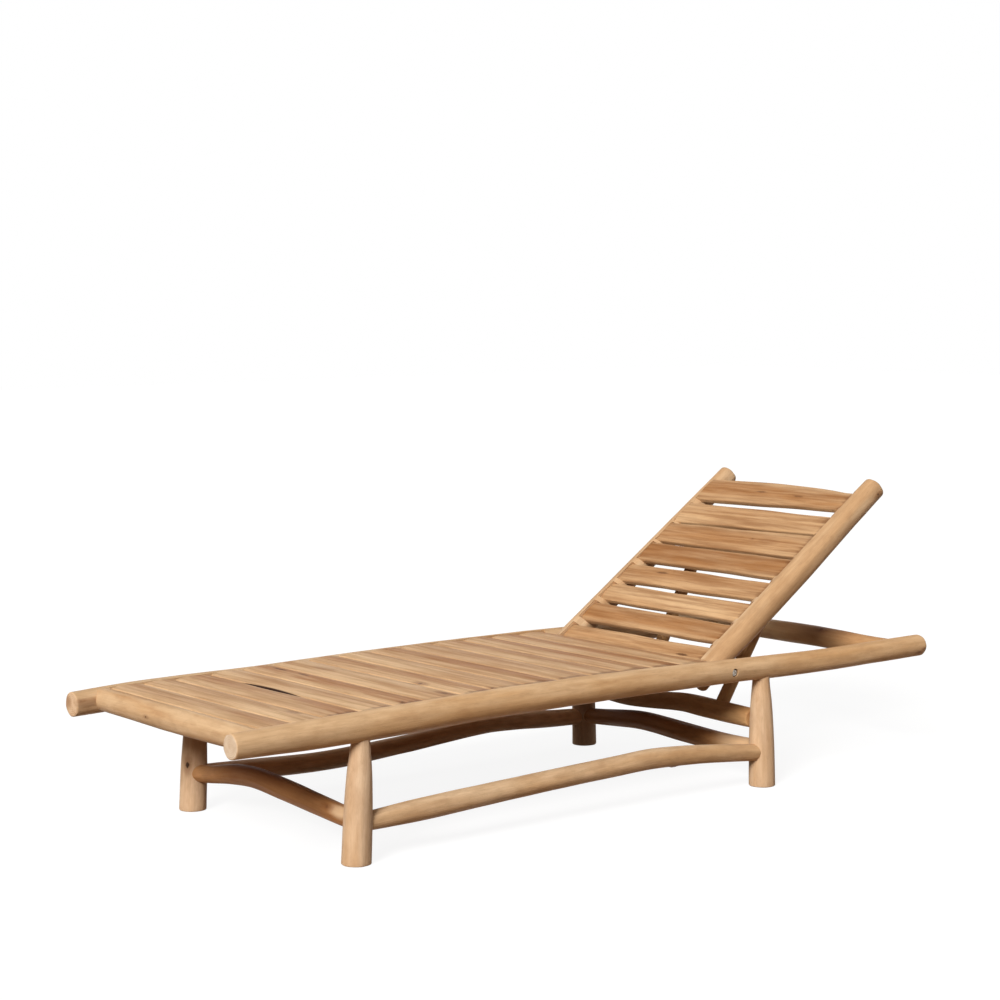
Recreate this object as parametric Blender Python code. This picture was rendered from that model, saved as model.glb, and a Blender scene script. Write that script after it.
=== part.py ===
"""Low teak chaise longue of round branches and sawn slats, with a reclining backrest on a folding prop.

Metres, floor at z = 0, +X towards the head end, -Y the sitter's left, origin under the middle.
"""
import math

import bmesh
import bpy
from mathutils import Vector

# Side rails
RAIL_LENGTH = 2.000
RAIL_SPACING = 0.637
RAIL_HEIGHT = 0.2785
FOOT_END_EASE = 0.003
HEAD_END_EASE = 0.006

# Shapes of natural poles: share of the length, sideways bend, rise, radius
LEFT_RAIL_SHAPE = (
    (0.000, 0.000, 0.0000, 0.0262),
    (0.140, 0.000, 0.0015, 0.0315),
    (0.305, 0.001, 0.0075, 0.0303),
    (0.435, 0.001, 0.0090, 0.0297),
    (0.550, 0.001, 0.0070, 0.0290),
    (0.668, 0.000, 0.0030, 0.0275),
    (0.810, 0.000, -0.0030, 0.0265),
    (1.000, 0.000, -0.0020, 0.0255),
)
RIGHT_RAIL_SHAPE = (
    (0.000, 0.0038, -0.0065, 0.0272),
    (0.070, 0.0030, -0.0019, 0.0284),
    (0.140, 0.0035, -0.0006, 0.0279),
    (0.230, 0.0032, -0.0002, 0.0274),
    (0.305, 0.0030, 0.0014, 0.0272),
    (0.370, 0.0025, 0.0032, 0.0272),
    (0.435, 0.0020, 0.0046, 0.0274),
    (0.550, 0.0010, 0.0050, 0.0274),
    (0.668, 0.0000, 0.0028, 0.0270),
    (0.810, 0.0000, -0.0030, 0.0264),
    (1.000, 0.0000, -0.0020, 0.0258),
)

# Cross rails between the side rails
FOOT_OVERHANG = 0.065
HEAD_OVERHANG = 0.092
FOOT_RAIL_SHAPE = (
    (0.00, 0.000, -0.0002, 0.0245),
    (0.20, 0.000, -0.0002, 0.0262),
    (0.45, 0.000, -0.0008, 0.0272),
    (0.85, -0.004, -0.0012, 0.0262),
    (1.00, -0.006, -0.0018, 0.0248),
)
HEAD_RAIL_SHAPE = (
    (0.00, 0.000, -0.0010, 0.0225),
    (0.30, 0.000, -0.0010, 0.0240),
    (0.60, 0.001, 0.0000, 0.0236),
    (1.00, 0.000, -0.0010, 0.0228),
)

# Legs
FOOT_LEG_INSET = 0.295
HEAD_LEG_INSET = 0.547
FOOT_LEG_LEAN = 0.015
HEAD_LEG_LEAN = -0.006
LEG_GIRTH = (
    (0.00, 0.0310),
    (0.35, 0.0298),
    (0.55, 0.0277),
    (0.72, 0.0248),
    (0.89, 0.0200),
    (1.00, 0.0190),
)

# Stretchers between the legs
LEFT_STRETCHER_HEIGHT = 0.083
LEFT_STRETCHER_SHAPE = (
    (0.00, 0.000, 0.0000, 0.0192),
    (0.14, 0.000, 0.0060, 0.0243),
    (0.42, 0.000, 0.0195, 0.0210),
    (0.67, 0.000, 0.0310, 0.0221),
    (0.83, 0.000, 0.0190, 0.0209),
    (1.00, 0.000, -0.0020, 0.0186),
)
RIGHT_STRETCHER_HEIGHT = 0.078
RIGHT_STRETCHER_SHAPE = (
    (0.00, 0.000, 0.0020, 0.0195),
    (0.11, 0.000, -0.0050, 0.0210),
    (0.30, 0.000, -0.0138, 0.0203),
    (0.50, 0.000, -0.0060, 0.0214),
    (0.72, 0.000, 0.0135, 0.0208),
    (0.80, 0.000, 0.0150, 0.0205),
    (1.00, 0.000, -0.0050, 0.0188),
)
FOOT_STRETCHER_HEIGHT = 0.088
FOOT_STRETCHER_SHAPE = (
    (0.00, 0.000, 0.0010, 0.0222),
    (0.08, 0.000, 0.0045, 0.0236),
    (0.43, 0.000, 0.0220, 0.0248),
    (0.60, 0.000, 0.0268, 0.0212),
    (0.74, 0.000, 0.0185, 0.0223),
    (0.91, 0.000, 0.0005, 0.0192),
    (1.00, 0.000, -0.0060, 0.0184),
)
HEAD_STRETCHER_HEIGHT = 0.082
HEAD_STRETCHER_SHAPE = (
    (0.00, 0.000, 0.0035, 0.0212),
    (0.20, 0.000, 0.0025, 0.0228),
    (0.40, 0.000, 0.0030, 0.0228),
    (0.61, 0.000, 0.0100, 0.0212),
    (0.72, 0.000, 0.0075, 0.0208),
    (0.91, 0.000, -0.0025, 0.0182),
    (1.00, 0.000, -0.0060, 0.0176),
)

# Slats and their seats
SEAT_SLAT_SHARES = (81, 80, 92, 86, 80, 96, 85, 90, 90, 96, 91, 89, 87, 83)
SEAT_SLAT_THICKNESS = 0.016
SEAT_SLAT_GAP = 0.0030
SLAT_SEAT_RISE = 0.0085
SLAT_END_INSET = 0.007
SEAT_START_FROM_FOOT_RAIL = 0.0230
SEAT_END_FROM_HINGE = 0.026
SEAT_SLAT_WAVE = 0.0007
SLAT_EASE = 0.0035
SLAT_CROWN = 0.0030
SLIT_BEHIND_SLAT = 3
SLIT_FROM = 0.415
SLIT_TO = 0.726
SLIT_DEPTH = 0.0032
REBATE_END_CLEARANCE = 0.0015

# Backrest
HINGE_FROM_HEAD = 0.662
BACK_ANGLE = 35.2
BACK_GAP = 0.0044
BACK_STUB = 0.020
BACK_TAIL = 0.075
BACK_LENGTH = 0.679
RIGHT_BACK_EXTRA = 0.007
BACK_SLAT_START = 0.010
BACK_TOP_BARE = 0.047
LEFT_BACK_WIDTHS = (57, 60, 63, 61, 69, 81, 66, 65)
LEFT_BACK_GAPS = (21, 15, 17, 18, 9, 7, 28)
RIGHT_BACK_WIDTHS = (57, 65, 59, 63, 69, 71, 75, 81)
RIGHT_BACK_GAPS = (21, 15, 15, 18, 9, 7, 18)
BACK_SLAT_THICKNESS = 0.016
BACK_SLAT_RISE = 0.007
BACK_END_INSET = 0.004
BACK_TOP_ARCH = 0.009
BACK_SLAT_WAVE = 0.0022
BACK_NOTCH_SHARE = 0.07
LEFT_BACK_SHAPE = (
    (0.00, 0.000, 0.0000, 0.0312),
    (0.30, 0.000, 0.0000, 0.0304),
    (0.60, 0.000, 0.0000, 0.0300),
    (0.85, 0.000, 0.0000, 0.0280),
    (1.00, 0.000, 0.0000, 0.0268),
)
RIGHT_BACK_SHAPE = (
    (0.00, 0.000, 0.0000, 0.0304),
    (0.30, 0.000, -0.0025, 0.0290),
    (0.60, 0.000, -0.0045, 0.0275),
    (0.85, 0.000, -0.0060, 0.0260),
    (1.00, 0.000, -0.0065, 0.0250),
)
CROSS_BAR_PLACE = 0.438
CROSS_BAR_DROP = 0.012
CROSS_BAR_RADIUS = 0.018

# Prop
PROP_BAR_HEIGHT = 0.1545
PROP_BAR_PLAY = 0.0012
PROP_BAR_SHAPE = (
    (0.00, 0.000, 0.0000, 0.0205),
    (0.08, 0.000, 0.0015, 0.0222),
    (0.30, 0.000, 0.0045, 0.0232),
    (0.42, 0.000, 0.0055, 0.0222),
    (0.62, 0.000, -0.0055, 0.0214),
    (0.74, 0.000, -0.0085, 0.0216),
    (0.90, 0.000, -0.0040, 0.0210),
    (1.00, 0.000, 0.0000, 0.0200),
)
PROP_STICK_RADIUS = 0.015
PROP_STICK_TAPER = 0.001
PROP_TOP_CLEARANCE = 0.0015
LEFT_STICK_PLACE = -0.176
LEFT_STICK_LEAN = 0.003
RIGHT_STICK_PLACE = 0.104
RIGHT_STICK_LEAN = 0.039

# Joints and hardware
FIT = 0.0003
COPE_CLEARANCE = 0.0010
COPE_WRAP = 0.55
COPE_RUN = 0.012
SOCKET_OVERCUT = 0.006
SHOULDER_ROUND = 0.003
CUT_REACH = 0.060
RAIL_TENON_RADIUS = 0.0140
RAIL_TENON_DEPTH = 0.0180
FOOT_TENON_RADIUS = 0.0100
LEG_TENON_RADIUS = 0.0125
LEG_TENON_DEPTH = 0.0320
STRETCHER_TENON_RADIUS = 0.0110
STRETCHER_TENON_DEPTH = 0.0155
STICK_TENON_RADIUS = 0.0090
STICK_TENON_DEPTH = 0.0160
BOLT_RADIUS = 0.005
BOLT_HEAD_RADIUS = 0.0075
BOLT_HEAD_HEIGHT = 0.0055
BOLT_RECESS_RADIUS = 0.009
BOLT_RECESS_DEPTH = 0.009
BOLT_CROWN = 0.0030
BOLT_END_SHORT = 0.002
SPACER_RADIUS = 0.012
INSERT_RADIUS = 0.008
INSERT_LENGTH = 0.024
INSERT_SUNK = 0.001
SIDES = 16

for leftover in list(bpy.data.objects):
    bpy.data.objects.remove(leftover, do_unlink=True)


def finish(name, colour, roughness):
    """Plain material of one kind of timber or metal."""
    material = bpy.data.materials.new(name)
    material.use_nodes = True
    shader = material.node_tree.nodes["Principled BSDF"]
    shader.inputs["Base Color"].default_value = (*colour, 1.0)
    shader.inputs["Roughness"].default_value = roughness
    return material


POLE_TEAK = finish("peeled_teak", (0.52, 0.31, 0.15), 0.48)
SLAT_TEAK = finish("sawn_teak", (0.46, 0.25, 0.11), 0.45)
STEEL = finish("zinc_steel", (0.55, 0.54, 0.52), 0.35)
STEEL.node_tree.nodes["Principled BSDF"].inputs["Metallic"].default_value = 1.0


def station_value(shape, column, share):
    """Smooth value of one column of a pole's stations at a share of its length."""
    last = len(shape) - 1
    index = 0
    while index < last - 1 and share > shape[index + 1][0]:
        index += 1

    def slope(station):
        low = shape[max(station - 1, 0)]
        high = shape[min(station + 1, last)]
        return (high[column] - low[column]) / (high[0] - low[0])

    begin = shape[index]
    finish = shape[index + 1]
    span = finish[0] - begin[0]
    f = (share - begin[0]) / span
    return (
        begin[column] * (1 + 2 * f) * (1 - f) ** 2
        + finish[column] * f * f * (3 - 2 * f)
        + slope(index) * span * f * (1 - f) ** 2
        + slope(index + 1) * span * f * f * (f - 1)
    )


class Pole:
    """Round pole with a gently bent centre line and a girth that changes along it."""

    def __init__(self, start, end, shape, side):
        self.start = Vector(start)
        self.length = (Vector(end) - self.start).length
        self.axis = (Vector(end) - self.start) / self.length
        self.side = Vector(side)
        self.rise = self.axis.cross(self.side)
        self.shape = shape
        self.cuts = []

    def share_of(self, point):
        share = (point - self.start).dot(self.axis) / self.length
        return min(max(share, 0.0), 1.0)

    def centre(self, share):
        sideways = station_value(self.shape, 1, share)
        rise = station_value(self.shape, 2, share)
        return self.start + self.axis * self.length * share + self.side * sideways + self.rise * rise

    def radius(self, share):
        return station_value(self.shape, 3, share)

    def circle(self, centre, radius):
        ring = []
        for step in range(SIDES):
            turn = 2 * math.pi * step / SIDES
            ring.append(centre + (self.side * math.cos(turn) + self.rise * math.sin(turn)) * radius)
        return ring

    def ring(self, distance):
        share = distance / self.length
        return self.circle(self.centre(share), self.radius(share))


def free_end(pole, at_start, ease):
    """Sawn end with an eased edge, outermost ring first."""
    rings = []
    for turn in (90, 45, 0):
        distance = ease * (1 - math.sin(math.radians(turn)))
        share = distance / pole.length if at_start else 1 - distance / pole.length
        radius = pole.radius(share) - ease * (1 - math.cos(math.radians(turn)))
        rings.append(pole.circle(pole.centre(share), radius))
    return rings, ease


def on_host(host, point, direction):
    """Point moved along a direction until it lies just off the side of a round host."""
    distance = 0.0
    across_host = direction - host.axis * direction.dot(host.axis)
    for _ in range(5):
        moved = point + direction * distance
        share = host.share_of(moved)
        reach = host.radius(share) + COPE_CLEARANCE
        offset = moved - host.centre(share)
        offset -= host.axis * offset.dot(host.axis)
        along = offset.dot(across_host.normalized())
        beside = offset.length_squared - along * along
        wanted = math.sqrt(max(reach * reach - beside, (COPE_WRAP * reach) ** 2))
        distance += (wanted - along) / across_host.length
    return point + direction * distance


def end_line(pole, at_start, reach):
    """Straight line of a tenon: its point on the host's axis and its direction into the pole."""
    share = reach / pole.length if at_start else 1 - reach / pole.length
    direction = pole.axis if at_start else -pole.axis
    return pole.centre(share) - direction * reach, direction, pole.radius(share)


def socket(pole, foot, direction, tip, mouth, radius):
    """Blind round hole for a tenon, as the rings of its cutter."""
    deep = pole.circle(foot + direction * (tip - FIT), radius + FIT)
    wide = pole.circle(foot + direction * mouth, radius + FIT)
    return [deep, wide]


def seated_end(pole, at_start, host, tenon_radius, tenon_depth):
    """End that is coped to a round host and tenoned into it, tip first; the host gets the socket."""
    near = pole.start if at_start else pole.start + pole.axis * pole.length
    reach = host.radius(host.share_of(near))
    foot, direction, girth = end_line(pole, at_start, reach)
    tip = reach - tenon_depth
    rings = [pole.circle(foot + direction * tip, tenon_radius)]
    for step in range(3):
        radius = tenon_radius + (girth - tenon_radius) * step / 2
        rings.append([on_host(host, point, direction) for point in pole.circle(foot, radius)])
    host.cuts.append(socket(pole, foot, direction, tip, reach + SOCKET_OVERCUT, tenon_radius))
    return rings, reach + COPE_RUN


def turning_end(pole, at_start, host, origin, tenon_radius, tenon_depth):
    """End with a plain shoulder and a round tenon that turns in its host's socket, tip first."""
    near = origin + (pole.start if at_start else pole.start + pole.axis * pole.length)
    reach = host.radius(host.share_of(near))
    share = 0.0 if at_start else 1.0
    direction = pole.axis if at_start else -pole.axis
    foot = pole.centre(share)
    tip = reach - tenon_depth
    shoulder = reach + PROP_BAR_PLAY
    girth = pole.radius(share)
    rings = [
        pole.circle(foot + direction * tip, tenon_radius),
        pole.circle(foot + direction * shoulder, tenon_radius),
        pole.circle(foot + direction * shoulder, girth - SHOULDER_ROUND),
    ]
    hole = socket(pole, foot, direction, tip, reach + SOCKET_OVERCUT, tenon_radius)
    host.cuts.append([[origin + point for point in ring] for ring in hole])
    return rings, shoulder + SHOULDER_ROUND


def domed_end(pole, at_start):
    """Whittled round end, outermost ring first."""
    rings = []
    for turn in (75, 50, 25, 0):
        share = 0.0 if at_start else 1.0
        dome = pole.radius(share)
        distance = dome * (1 - math.sin(math.radians(turn)))
        share = distance / pole.length if at_start else 1 - distance / pole.length
        rings.append(pole.circle(pole.centre(share), dome * math.cos(math.radians(turn))))
    return rings, pole.radius(share)


def add_loft(bm, rings, closed=False):
    """Skin a row of rings; an open row gets end faces, a closed row joins its last ring to its first."""
    loops = [[bm.verts.new(point) for point in ring] for ring in rings]
    count = len(loops[0])
    pairs = list(zip(loops, loops[1:]))
    if closed:
        pairs.append((loops[-1], loops[0]))
    else:
        bm.faces.new(loops[0])
        bm.faces.new(loops[-1])
    for low, high in pairs:
        for step in range(count):
            after = (step + 1) % count
            bm.faces.new((low[step], low[after], high[after], high[step]))


def solid(name, lofts, material, parent=None, closed=False):
    """Object made of closed lofts, shaded smooth across its round sides."""
    mesh = bpy.data.meshes.new(name)
    bm = bmesh.new()
    for rings in lofts:
        add_loft(bm, rings, closed)
    bmesh.ops.recalc_face_normals(bm, faces=bm.faces)
    bm.to_mesh(mesh)
    bm.free()
    mesh.shade_smooth()
    mesh.set_sharp_from_angle(angle=math.radians(40))
    item = bpy.data.objects.new(name, mesh)
    bpy.context.collection.objects.link(item)
    item.parent = parent
    if material:
        mesh.materials.append(material)
    return item


def carve(item, lofts, parent=None):
    """Cut closed lofts out of an object."""
    cutter = solid("cut_" + item.name, lofts, None, parent)
    cutter.hide_render = True
    cutter.display_type = "WIRE"
    boolean = item.modifiers.new("cuts", "BOOLEAN")
    boolean.operation = "DIFFERENCE"
    boolean.solver = "EXACT"
    boolean.object = cutter


def pole_object(name, pole, start_end, finish_end, count, parent=None):
    """Skin a pole between its two finished ends and cut its sockets and seats."""
    start_rings, start_clear = start_end
    finish_rings, finish_clear = finish_end
    rings = list(start_rings)
    run = pole.length - finish_clear - start_clear
    for step in range(count + 1):
        inner = 0 < step < count
        if inner or (step == 0 and len(start_rings) > 3) or (step == count and len(finish_rings) > 3):
            rings.append(pole.ring(start_clear + run * step / count))
    rings += reversed(finish_rings)
    item = solid(name, [rings], POLE_TEAK, parent)
    if pole.cuts:
        carve(item, pole.cuts, parent)
    return item


def lathe(centre, profile, sides=SIDES):
    """Rings about a line along Y through a centre, from pairs of y and radius."""
    rings = []
    for place, radius in profile:
        ring = []
        for step in range(sides):
            turn = 2 * math.pi * step / sides
            x = centre[0] + radius * math.cos(turn)
            z = centre[2] + radius * math.sin(turn)
            ring.append(Vector((x, place, z)))
        rings.append(ring)
    return rings


def block(x_range, y_range, z_range):
    """Rings of a plain box along X."""
    rings = []
    for x in x_range:
        rings.append(
            [
                Vector((x, y_range[0], z_range[0])),
                Vector((x, y_range[1], z_range[0])),
                Vector((x, y_range[1], z_range[1])),
                Vector((x, y_range[0], z_range[1])),
            ]
        )
    return rings


def plank_ring(y, low, high, thickness, ease, crown):
    """Section of a slat across its length: flat below, crowned above, with eased corners."""
    ring = []
    edge_top = thickness - crown
    corners = ((high, edge_top, 0), (low, edge_top, 90), (low, 0.0, 180), (high, 0.0, 270))
    for x, z, start in corners:
        centre_x = x - ease if x == high else x + ease
        centre_z = z - ease if z else ease
        for turn in (0, 45, 90):
            angle = math.radians(start + turn)
            ring.append(Vector((centre_x + ease * math.cos(angle), y, centre_z + ease * math.sin(angle))))
        if start == 0:
            ring.append(Vector((0.5 * (low + high), y, thickness)))
    return ring


def wave(seed, share):
    """Gentle wander of a natural edge, between -1 and 1."""
    slow = math.sin(2 * math.pi * (0.9 * share + 0.37 * seed))
    quick = math.sin(2 * math.pi * (2.1 * share + 0.71 * seed))
    return 0.65 * slow + 0.35 * quick


# Side rails: two long poles that carry everything, with the slat rebate along their inner tops
half_length = RAIL_LENGTH / 2
half_spacing = RAIL_SPACING / 2
left_rail = Pole(
    (-half_length, -half_spacing, RAIL_HEIGHT),
    (half_length, -half_spacing, RAIL_HEIGHT),
    LEFT_RAIL_SHAPE,
    (0, 1, 0),
)
right_rail = Pole(
    (-half_length, half_spacing, RAIL_HEIGHT),
    (half_length, half_spacing, RAIL_HEIGHT),
    RIGHT_RAIL_SHAPE,
    (0, 1, 0),
)


def rail_height(x):
    """Height of the side rails' axes at a place along the chaise."""
    return left_rail.centre((x + half_length) / RAIL_LENGTH).z


# Cross rails: round poles tenoned between the side rails; the first slat lies in a rebate of the foot one
foot_rail_x = -half_length + FOOT_OVERHANG
head_rail_x = half_length - HEAD_OVERHANG
hinge_x = half_length - HINGE_FROM_HEAD
seat_start = foot_rail_x + SEAT_START_FROM_FOOT_RAIL
seat_end = hinge_x - SEAT_END_FROM_HINGE
rebate_start = seat_start - REBATE_END_CLEARANCE


def rebate_ring(x, wall, inner):
    """Outline of the rebate for the seat slats at a place along the chaise, from a wall inwards."""
    floor = rail_height(x) + SLAT_SEAT_RISE - FIT
    return [
        Vector((x, wall, floor)),
        Vector((x, inner, floor)),
        Vector((x, inner, floor + CUT_REACH)),
        Vector((x, wall, floor + CUT_REACH)),
    ]


for name, x, shape, tenon_radius in (
    ("foot_cross_rail", foot_rail_x, FOOT_RAIL_SHAPE, FOOT_TENON_RADIUS),
    ("head_cross_rail", head_rail_x, HEAD_RAIL_SHAPE, RAIL_TENON_RADIUS),
):
    z = rail_height(x)
    pole = Pole((x, -half_spacing, z), (x, half_spacing, z), shape, (-1, 0, 0))
    left_end = seated_end(pole, True, left_rail, tenon_radius, RAIL_TENON_DEPTH)
    right_end = seated_end(pole, False, right_rail, tenon_radius, RAIL_TENON_DEPTH)
    if x == foot_rail_x:
        rebate_stops = (rebate_start, rebate_start + CUT_REACH)
        pole.cuts.append([rebate_ring(stop, -RAIL_SPACING, RAIL_SPACING) for stop in rebate_stops])
    pole_object(name, pole, left_end, right_end, 6)

# Legs: stout below and narrowed at the top, tenoned up into the side rails
foot_leg_x = -half_length + FOOT_LEG_INSET
head_leg_x = half_length - HEAD_LEG_INSET
legs = {}
for place, x, lean in (("foot", foot_leg_x, FOOT_LEG_LEAN), ("head", head_leg_x, HEAD_LEG_LEAN)):
    for hand, y in (("left", -half_spacing), ("right", half_spacing)):
        shape = tuple((share, lean * share, 0.0, radius) for share, radius in LEG_GIRTH)
        legs[place, hand] = Pole((x, y, 0), (x, y, rail_height(x + lean)), shape, (1, 0, 0))
leg_tops = {}
for place, hand in legs:
    rail = left_rail if hand == "left" else right_rail
    leg_tops[place, hand] = seated_end(legs[place, hand], False, rail, LEG_TENON_RADIUS, LEG_TENON_DEPTH)


def leg_centre(place, hand, height):
    """Centre of a leg at a height above the floor."""
    leg = legs[place, hand]
    return leg.centre(height / leg.length)


# Stretchers: naturally bent branches low between the legs
foot_left, foot_right, head_left, head_right = legs
for name, first, second, height, shape in (
    ("stretcher_left", foot_left, head_left, LEFT_STRETCHER_HEIGHT, LEFT_STRETCHER_SHAPE),
    ("stretcher_right", foot_right, head_right, RIGHT_STRETCHER_HEIGHT, RIGHT_STRETCHER_SHAPE),
    ("stretcher_foot", foot_left, foot_right, FOOT_STRETCHER_HEIGHT, FOOT_STRETCHER_SHAPE),
    ("stretcher_head", head_left, head_right, HEAD_STRETCHER_HEIGHT, HEAD_STRETCHER_SHAPE),
):
    lengthwise = first[1] == second[1]
    side = (0, 1, 0) if lengthwise else (-1, 0, 0)
    pole = Pole(leg_centre(*first, height), leg_centre(*second, height), shape, side)
    near_end = seated_end(pole, True, legs[first], STRETCHER_TENON_RADIUS, STRETCHER_TENON_DEPTH)
    far_end = seated_end(pole, False, legs[second], STRETCHER_TENON_RADIUS, STRETCHER_TENON_DEPTH)
    pole_object(name, pole, near_end, far_end, 10 if lengthwise else 8)

# Seat: fourteen slats of uneven width in the rebates of both side rails, two of them hollowed to a slit
hinge_z = rail_height(hinge_x)
rebate_wall = half_spacing - SLAT_END_INSET
slat_half_length = rebate_wall - FIT
slit_middle = 0.5 * (SLIT_FROM + SLIT_TO)
edge = seat_start
for number, share in enumerate(SEAT_SLAT_SHARES, 1):
    width = share / sum(SEAT_SLAT_SHARES) * (seat_end - seat_start)
    low = edge + 0.5 * SEAT_SLAT_GAP
    high = edge + width - 0.5 * SEAT_SLAT_GAP
    middle = 0.5 * (low + high)
    slope = (rail_height(high) - rail_height(low)) / (high - low)
    by_slit = number in (SLIT_BEHIND_SLAT, SLIT_BEHIND_SLAT + 1)
    rings = []
    for along in (0.0, SLIT_FROM, slit_middle, SLIT_TO, 1.0) if by_slit else (0.0, 1 / 3, 2 / 3, 1.0):
        front = low - middle + SEAT_SLAT_WAVE * wave(number, along)
        back = high - middle + SEAT_SLAT_WAVE * wave(number + 0.5, along)
        if along == slit_middle and number == SLIT_BEHIND_SLAT:
            back -= SLIT_DEPTH
        elif along == slit_middle:
            front += SLIT_DEPTH
        y = (2 * along - 1) * slat_half_length
        rings.append(plank_ring(y, front, back, SEAT_SLAT_THICKNESS, SLAT_EASE, SLAT_CROWN))
    slat = solid(f"seat_slat_{number:02d}", [rings], SLAT_TEAK)
    slat.location = (middle, 0, rail_height(middle) + SLAT_SEAT_RISE)
    slat.rotation_euler = (0, -math.atan(slope), 0)
    edge += width
for rail, side in ((left_rail, 1), (right_rail, -1)):
    rebate = []
    rebate_length = seat_end + REBATE_END_CLEARANCE - rebate_start
    for step in range(13):
        wall = -side * rebate_wall
        rebate.append(rebate_ring(rebate_start + rebate_length * step / 12, wall, wall + side * CUT_REACH))
    rail.cuts.append(rebate)

# Backrest: two poles that turn on bolts through the side rails; their own frame lies along the poles
back_pivot = bpy.data.objects.new("backrest_pivot", None)
bpy.context.collection.objects.link(back_pivot)
back_pivot.location = (hinge_x, 0, hinge_z)
back_pivot.rotation_euler = (0, -math.radians(BACK_ANGLE), 0)
tilt = math.radians(BACK_ANGLE)
hinge_share = (hinge_x + half_length) / RAIL_LENGTH
back_poles = {}
for hand, rail, side, length, shape in (
    ("left", left_rail, 1, BACK_LENGTH, LEFT_BACK_SHAPE),
    ("right", right_rail, -1, BACK_LENGTH + RIGHT_BACK_EXTRA, RIGHT_BACK_SHAPE),
):
    hinge_radius = station_value(shape, 3, BACK_TAIL / (BACK_TAIL + length))
    inner_face = rail.centre(hinge_share).y + side * rail.radius(hinge_share)
    pole_y = inner_face + side * (BACK_GAP + hinge_radius)
    pole = Pole((-BACK_TAIL, pole_y, 0), (length, pole_y, 0), shape, (0, 1, 0))
    outer_face = pole_y - side * hinge_radius
    back_poles[hand] = (pole, side, inner_face, outer_face)

# Hinge hardware on each side: a bolt from outside, a spacer between the poles, a threaded insert
for hand, rail in (("left", left_rail), ("right", right_rail)):
    pole, side, inner_face, outer_face = back_poles[hand]
    centre = (hinge_x, 0, hinge_z)
    rail_outside = rail.centre(hinge_share).y - side * rail.radius(hinge_share)
    recess_floor = rail_outside + side * BOLT_RECESS_DEPTH
    head_seat = recess_floor - side * FIT
    head_top = head_seat - side * BOLT_HEAD_HEIGHT
    insert_end = outer_face + side * INSERT_LENGTH
    bolt_end = insert_end - side * BOLT_END_SHORT
    hole = BOLT_RADIUS + FIT
    rail.cuts.append(
        lathe(
            centre,
            (
                (rail_outside - side * SOCKET_OVERCUT, BOLT_RECESS_RADIUS),
                (recess_floor, BOLT_RECESS_RADIUS),
                (recess_floor, hole),
                (inner_face + side * SOCKET_OVERCUT, hole),
            ),
        )
    )
    insert_hole = INSERT_RADIUS + FIT
    pole.cuts.append(
        lathe(
            (0, 0, 0),
            ((outer_face - side * SOCKET_OVERCUT, insert_hole), (insert_end + side * FIT, insert_hole)),
        )
    )
    bolt = solid(
        "hinge_bolt_" + hand,
        [
            lathe(
                (0, 0, 0),
                (
                    (head_top, 0.35 * BOLT_HEAD_RADIUS),
                    (head_top + side * BOLT_CROWN / 3, 0.75 * BOLT_HEAD_RADIUS),
                    (head_top + side * BOLT_CROWN, BOLT_HEAD_RADIUS),
                    (head_seat, BOLT_HEAD_RADIUS),
                    (head_seat, BOLT_RADIUS),
                    (bolt_end, BOLT_RADIUS),
                ),
            )
        ],
        STEEL,
        back_pivot,
    )
    insert = solid(
        "hinge_insert_" + hand,
        [
            lathe(
                (0, 0, 0),
                (
                    (outer_face + side * INSERT_SUNK, INSERT_RADIUS),
                    (insert_end, INSERT_RADIUS),
                    (insert_end, hole),
                    (outer_face + side * INSERT_SUNK, hole),
                ),
            )
        ],
        STEEL,
        back_pivot,
        closed=True,
    )
    spacer = solid(
        "hinge_spacer_" + hand,
        [
            lathe(
                centre,
                (
                    (inner_face + side * FIT, SPACER_RADIUS),
                    (outer_face - side * FIT, SPACER_RADIUS),
                    (outer_face - side * FIT, hole),
                    (inner_face + side * FIT, hole),
                ),
            )
        ],
        STEEL,
        closed=True,
    )

# Back slats: eight uneven boards let into notches of the back poles
left_pole = back_poles["left"][0]
right_pole = back_poles["right"][0]
back_low = left_pole.start.y + BACK_END_INSET
back_high = right_pole.start.y - BACK_END_INSET
back_run = BACK_SLAT_START + BACK_LENGTH - BACK_TOP_BARE
unit = back_run / (sum(RIGHT_BACK_WIDTHS) + sum(RIGHT_BACK_GAPS))


def slat_spans(widths, gaps):
    """Lower and upper edges of the back slats along one back pole."""
    spans = []
    edge = -BACK_SLAT_START
    for width, gap in zip(widths, (*gaps, 0)):
        spans.append((edge, edge + width * unit))
        edge += (width + gap) * unit
    return spans


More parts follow.
